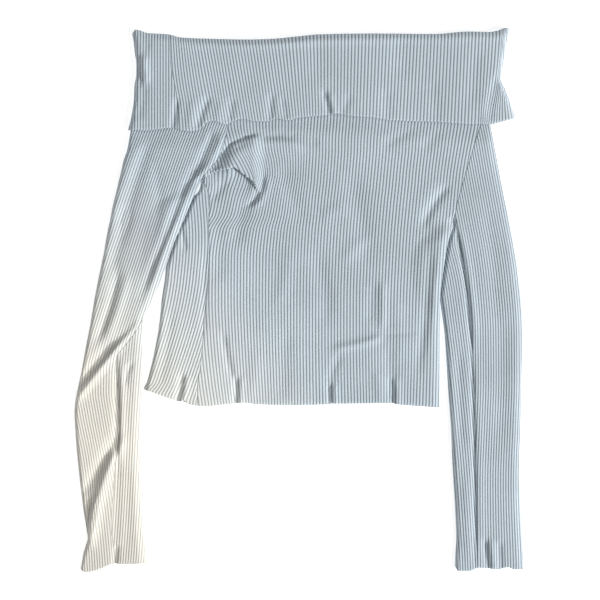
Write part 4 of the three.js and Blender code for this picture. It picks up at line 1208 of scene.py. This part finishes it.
class TOP_OT_sleeves(bpy.types.Operator):
    """Makes the two raglan sleeves"""
    bl_idname = "top.sleeves"
    bl_label = "Sleeves"

    def execute(self, context):
        given = settings_of(context)
        rows = (
            ("left_sleeve", left_at, raised(left_loft, left_lift), (LEFT_ARM, ELBOW),
             LEFT_CUFF_ROWS, LEFT_CUFF, (4, 0), 20, (0.235, 0.575), 0.092, ["back_panel_cloth"]),
            ("right_sleeve", right_at, raised(right_loft, lambda x, y: 0), (LEFT_ARM, RIGHT_ARM),
             RIGHT_CUFF_ROWS, RIGHT_CUFF, (1, 5), 21, (0.2, 0.575), 0.084, ["collar_front_cloth"]),
        )
        for node, at, shape, marks, ends, cuff, slots, seed, flat, area, rests_on in rows:
            piece, outer, inner = tube_piece(
                node + "_cloth", at, shape, tube_stations(marks, ends, cuff, given.row_step),
                PITCH_SLEEVE, knit_for(context, node + " knit"))
            trims = []
            for slot in slots:
                path = edge_path(outer[-1], inner[-1], slot)
                trims.append(stitched_edge(f"{node}_cuff_stitches_{slot}", path, given, seed))
            dress(piece, node, flat, area, rests_on, trims)
        return {"FINISHED"}


class TOP_OT_collar(bpy.types.Operator):
    """Makes the folded collar, front and back"""
    bl_idname = "top.collar"
    bl_label = "Collar"

    def execute(self, context):
        given = settings_of(context)
        rows = (
            ("collar_front", collar_front_at, 1, 31,
             (0.475, 0.205), 0.091, ["front_panel_cloth", "collar_back_cloth"]),
            ("collar_back", collar_back_at, 3, 32, (0.465, 0.205), 0.091, []),
        )
        for node, at, slot, seed, flat, area, rests_on in rows:
            piece, outer, inner = collar_piece(
                node + "_cloth", at, given.row_step, PITCH_BODY, knit_for(context, node + " knit"))
            path = edge_path(outer[0], inner[0], slot)
            edge = stitched_edge(node + "_edge_stitches", path, given, seed)
            dress(piece, node, flat, area, rests_on, [edge])
        return {"FINISHED"}


class TOP_OT_stage(bpy.types.Operator):
    """Makes the floor, the lights and the camera"""
    bl_idname = "top.stage"
    bl_label = "Stage"

    def execute(self, context):
        make_floor()
        make_lights()
        make_camera()
        return {"FINISHED"}


class TOP_PT_panel(bpy.types.Panel):
    """Lists the steps that make the top"""
    bl_label = "Off-shoulder top"
    bl_idname = "TOP_PT_panel"
    bl_space_type = "VIEW_3D"
    bl_region_type = "UI"
    bl_category = "Top"

    def draw(self, context):
        for name in ("row_step", "crest", "valley", "stitch_spacing"):
            self.layout.prop(settings_of(context), name)
        for name in STEPS:
            self.layout.operator("top." + name)


STEPS = ("stage", "body", "sleeves", "collar")
CLASSES = (
    OffShoulderTopSettings, TOP_OT_stage, TOP_OT_body, TOP_OT_sleeves, TOP_OT_collar, TOP_PT_panel)


# Stage

def make_floor():
    half = FLOOR_SIDE / 2
    corners = [(x * half, y * half, -FLOOR_BELOW) for x, y in ((-1, -1), (1, -1), (1, 1), (-1, 1))]
    mesh = bpy.data.meshes.new("floor")
    mesh.from_pydata(corners, [], [(0, 1, 2, 3)])
    material = bpy.data.materials.new("floor paper")
    material.use_nodes = True
    shader = material.node_tree.nodes["Principled BSDF"]
    for socket, value in (
            ("Base Color", PAPER), ("Roughness", 0.95), ("Emission Color", (1, 1, 1, 1)),
            ("Emission Strength", PAPER_GLOW)):
        shader.inputs[socket].default_value = value
    mesh.materials.append(material)
    floor = put("floor", mesh)


def make_light(name, kind, place, target, power, colour):
    """A light that points at its target."""
    lamp = bpy.data.lights.new(name, kind)
    lamp.energy, lamp.color = power, colour
    light = put(name, lamp)
    light.location = place
    light.rotation_euler = (Vector(target) - Vector(place)).to_track_quat("-Z", "Y").to_euler()
    return lamp


def make_lights():
    world = bpy.data.worlds.new("studio")
    world.use_nodes = True
    sky = world.node_tree.nodes["Background"]
    sky.inputs["Color"].default_value = SKY
    sky.inputs["Strength"].default_value = SKY_POWER
    bpy.context.scene.world = world
    for name, place, target, size, power, colour in AREA_LIGHTS:
        lamp = make_light(name, "AREA", place, target, power, colour)
        lamp.shape, lamp.size = "DISK", size
    # A warm spot with a soft rim, on the lower left
    lamp = make_light("warm", "SPOT", SPOT_PLACE, SPOT_TARGET, SPOT_POWER, WARM)
    lamp.spot_size, lamp.spot_blend, lamp.shadow_soft_size = SPOT_WIDTH, 1.0, SPOT_SIZE


def make_camera():
    camera = bpy.data.cameras.new("camera")
    camera.lens, camera.sensor_width = LENS, SENSOR
    view = put("camera", camera)
    view.location = (*VIEW_MIDDLE, CLOTH_LEVEL + VIEW_WIDTH * LENS / SENSOR)
    bpy.context.scene.camera = view
    bpy.context.scene.view_settings.view_transform = "Standard"


def register():
    for cls in CLASSES:
        bpy.utils.register_class(cls)
    bpy.types.Scene.off_shoulder_top = bpy.props.PointerProperty(type=OffShoulderTopSettings)


def unregister():
    del bpy.types.Scene.off_shoulder_top
    for cls in reversed(CLASSES):
        bpy.utils.unregister_class(cls)


def main():
    register()
    for name in STEPS:
        getattr(bpy.ops.top, name)()


if __name__ == "__main__":
    main()
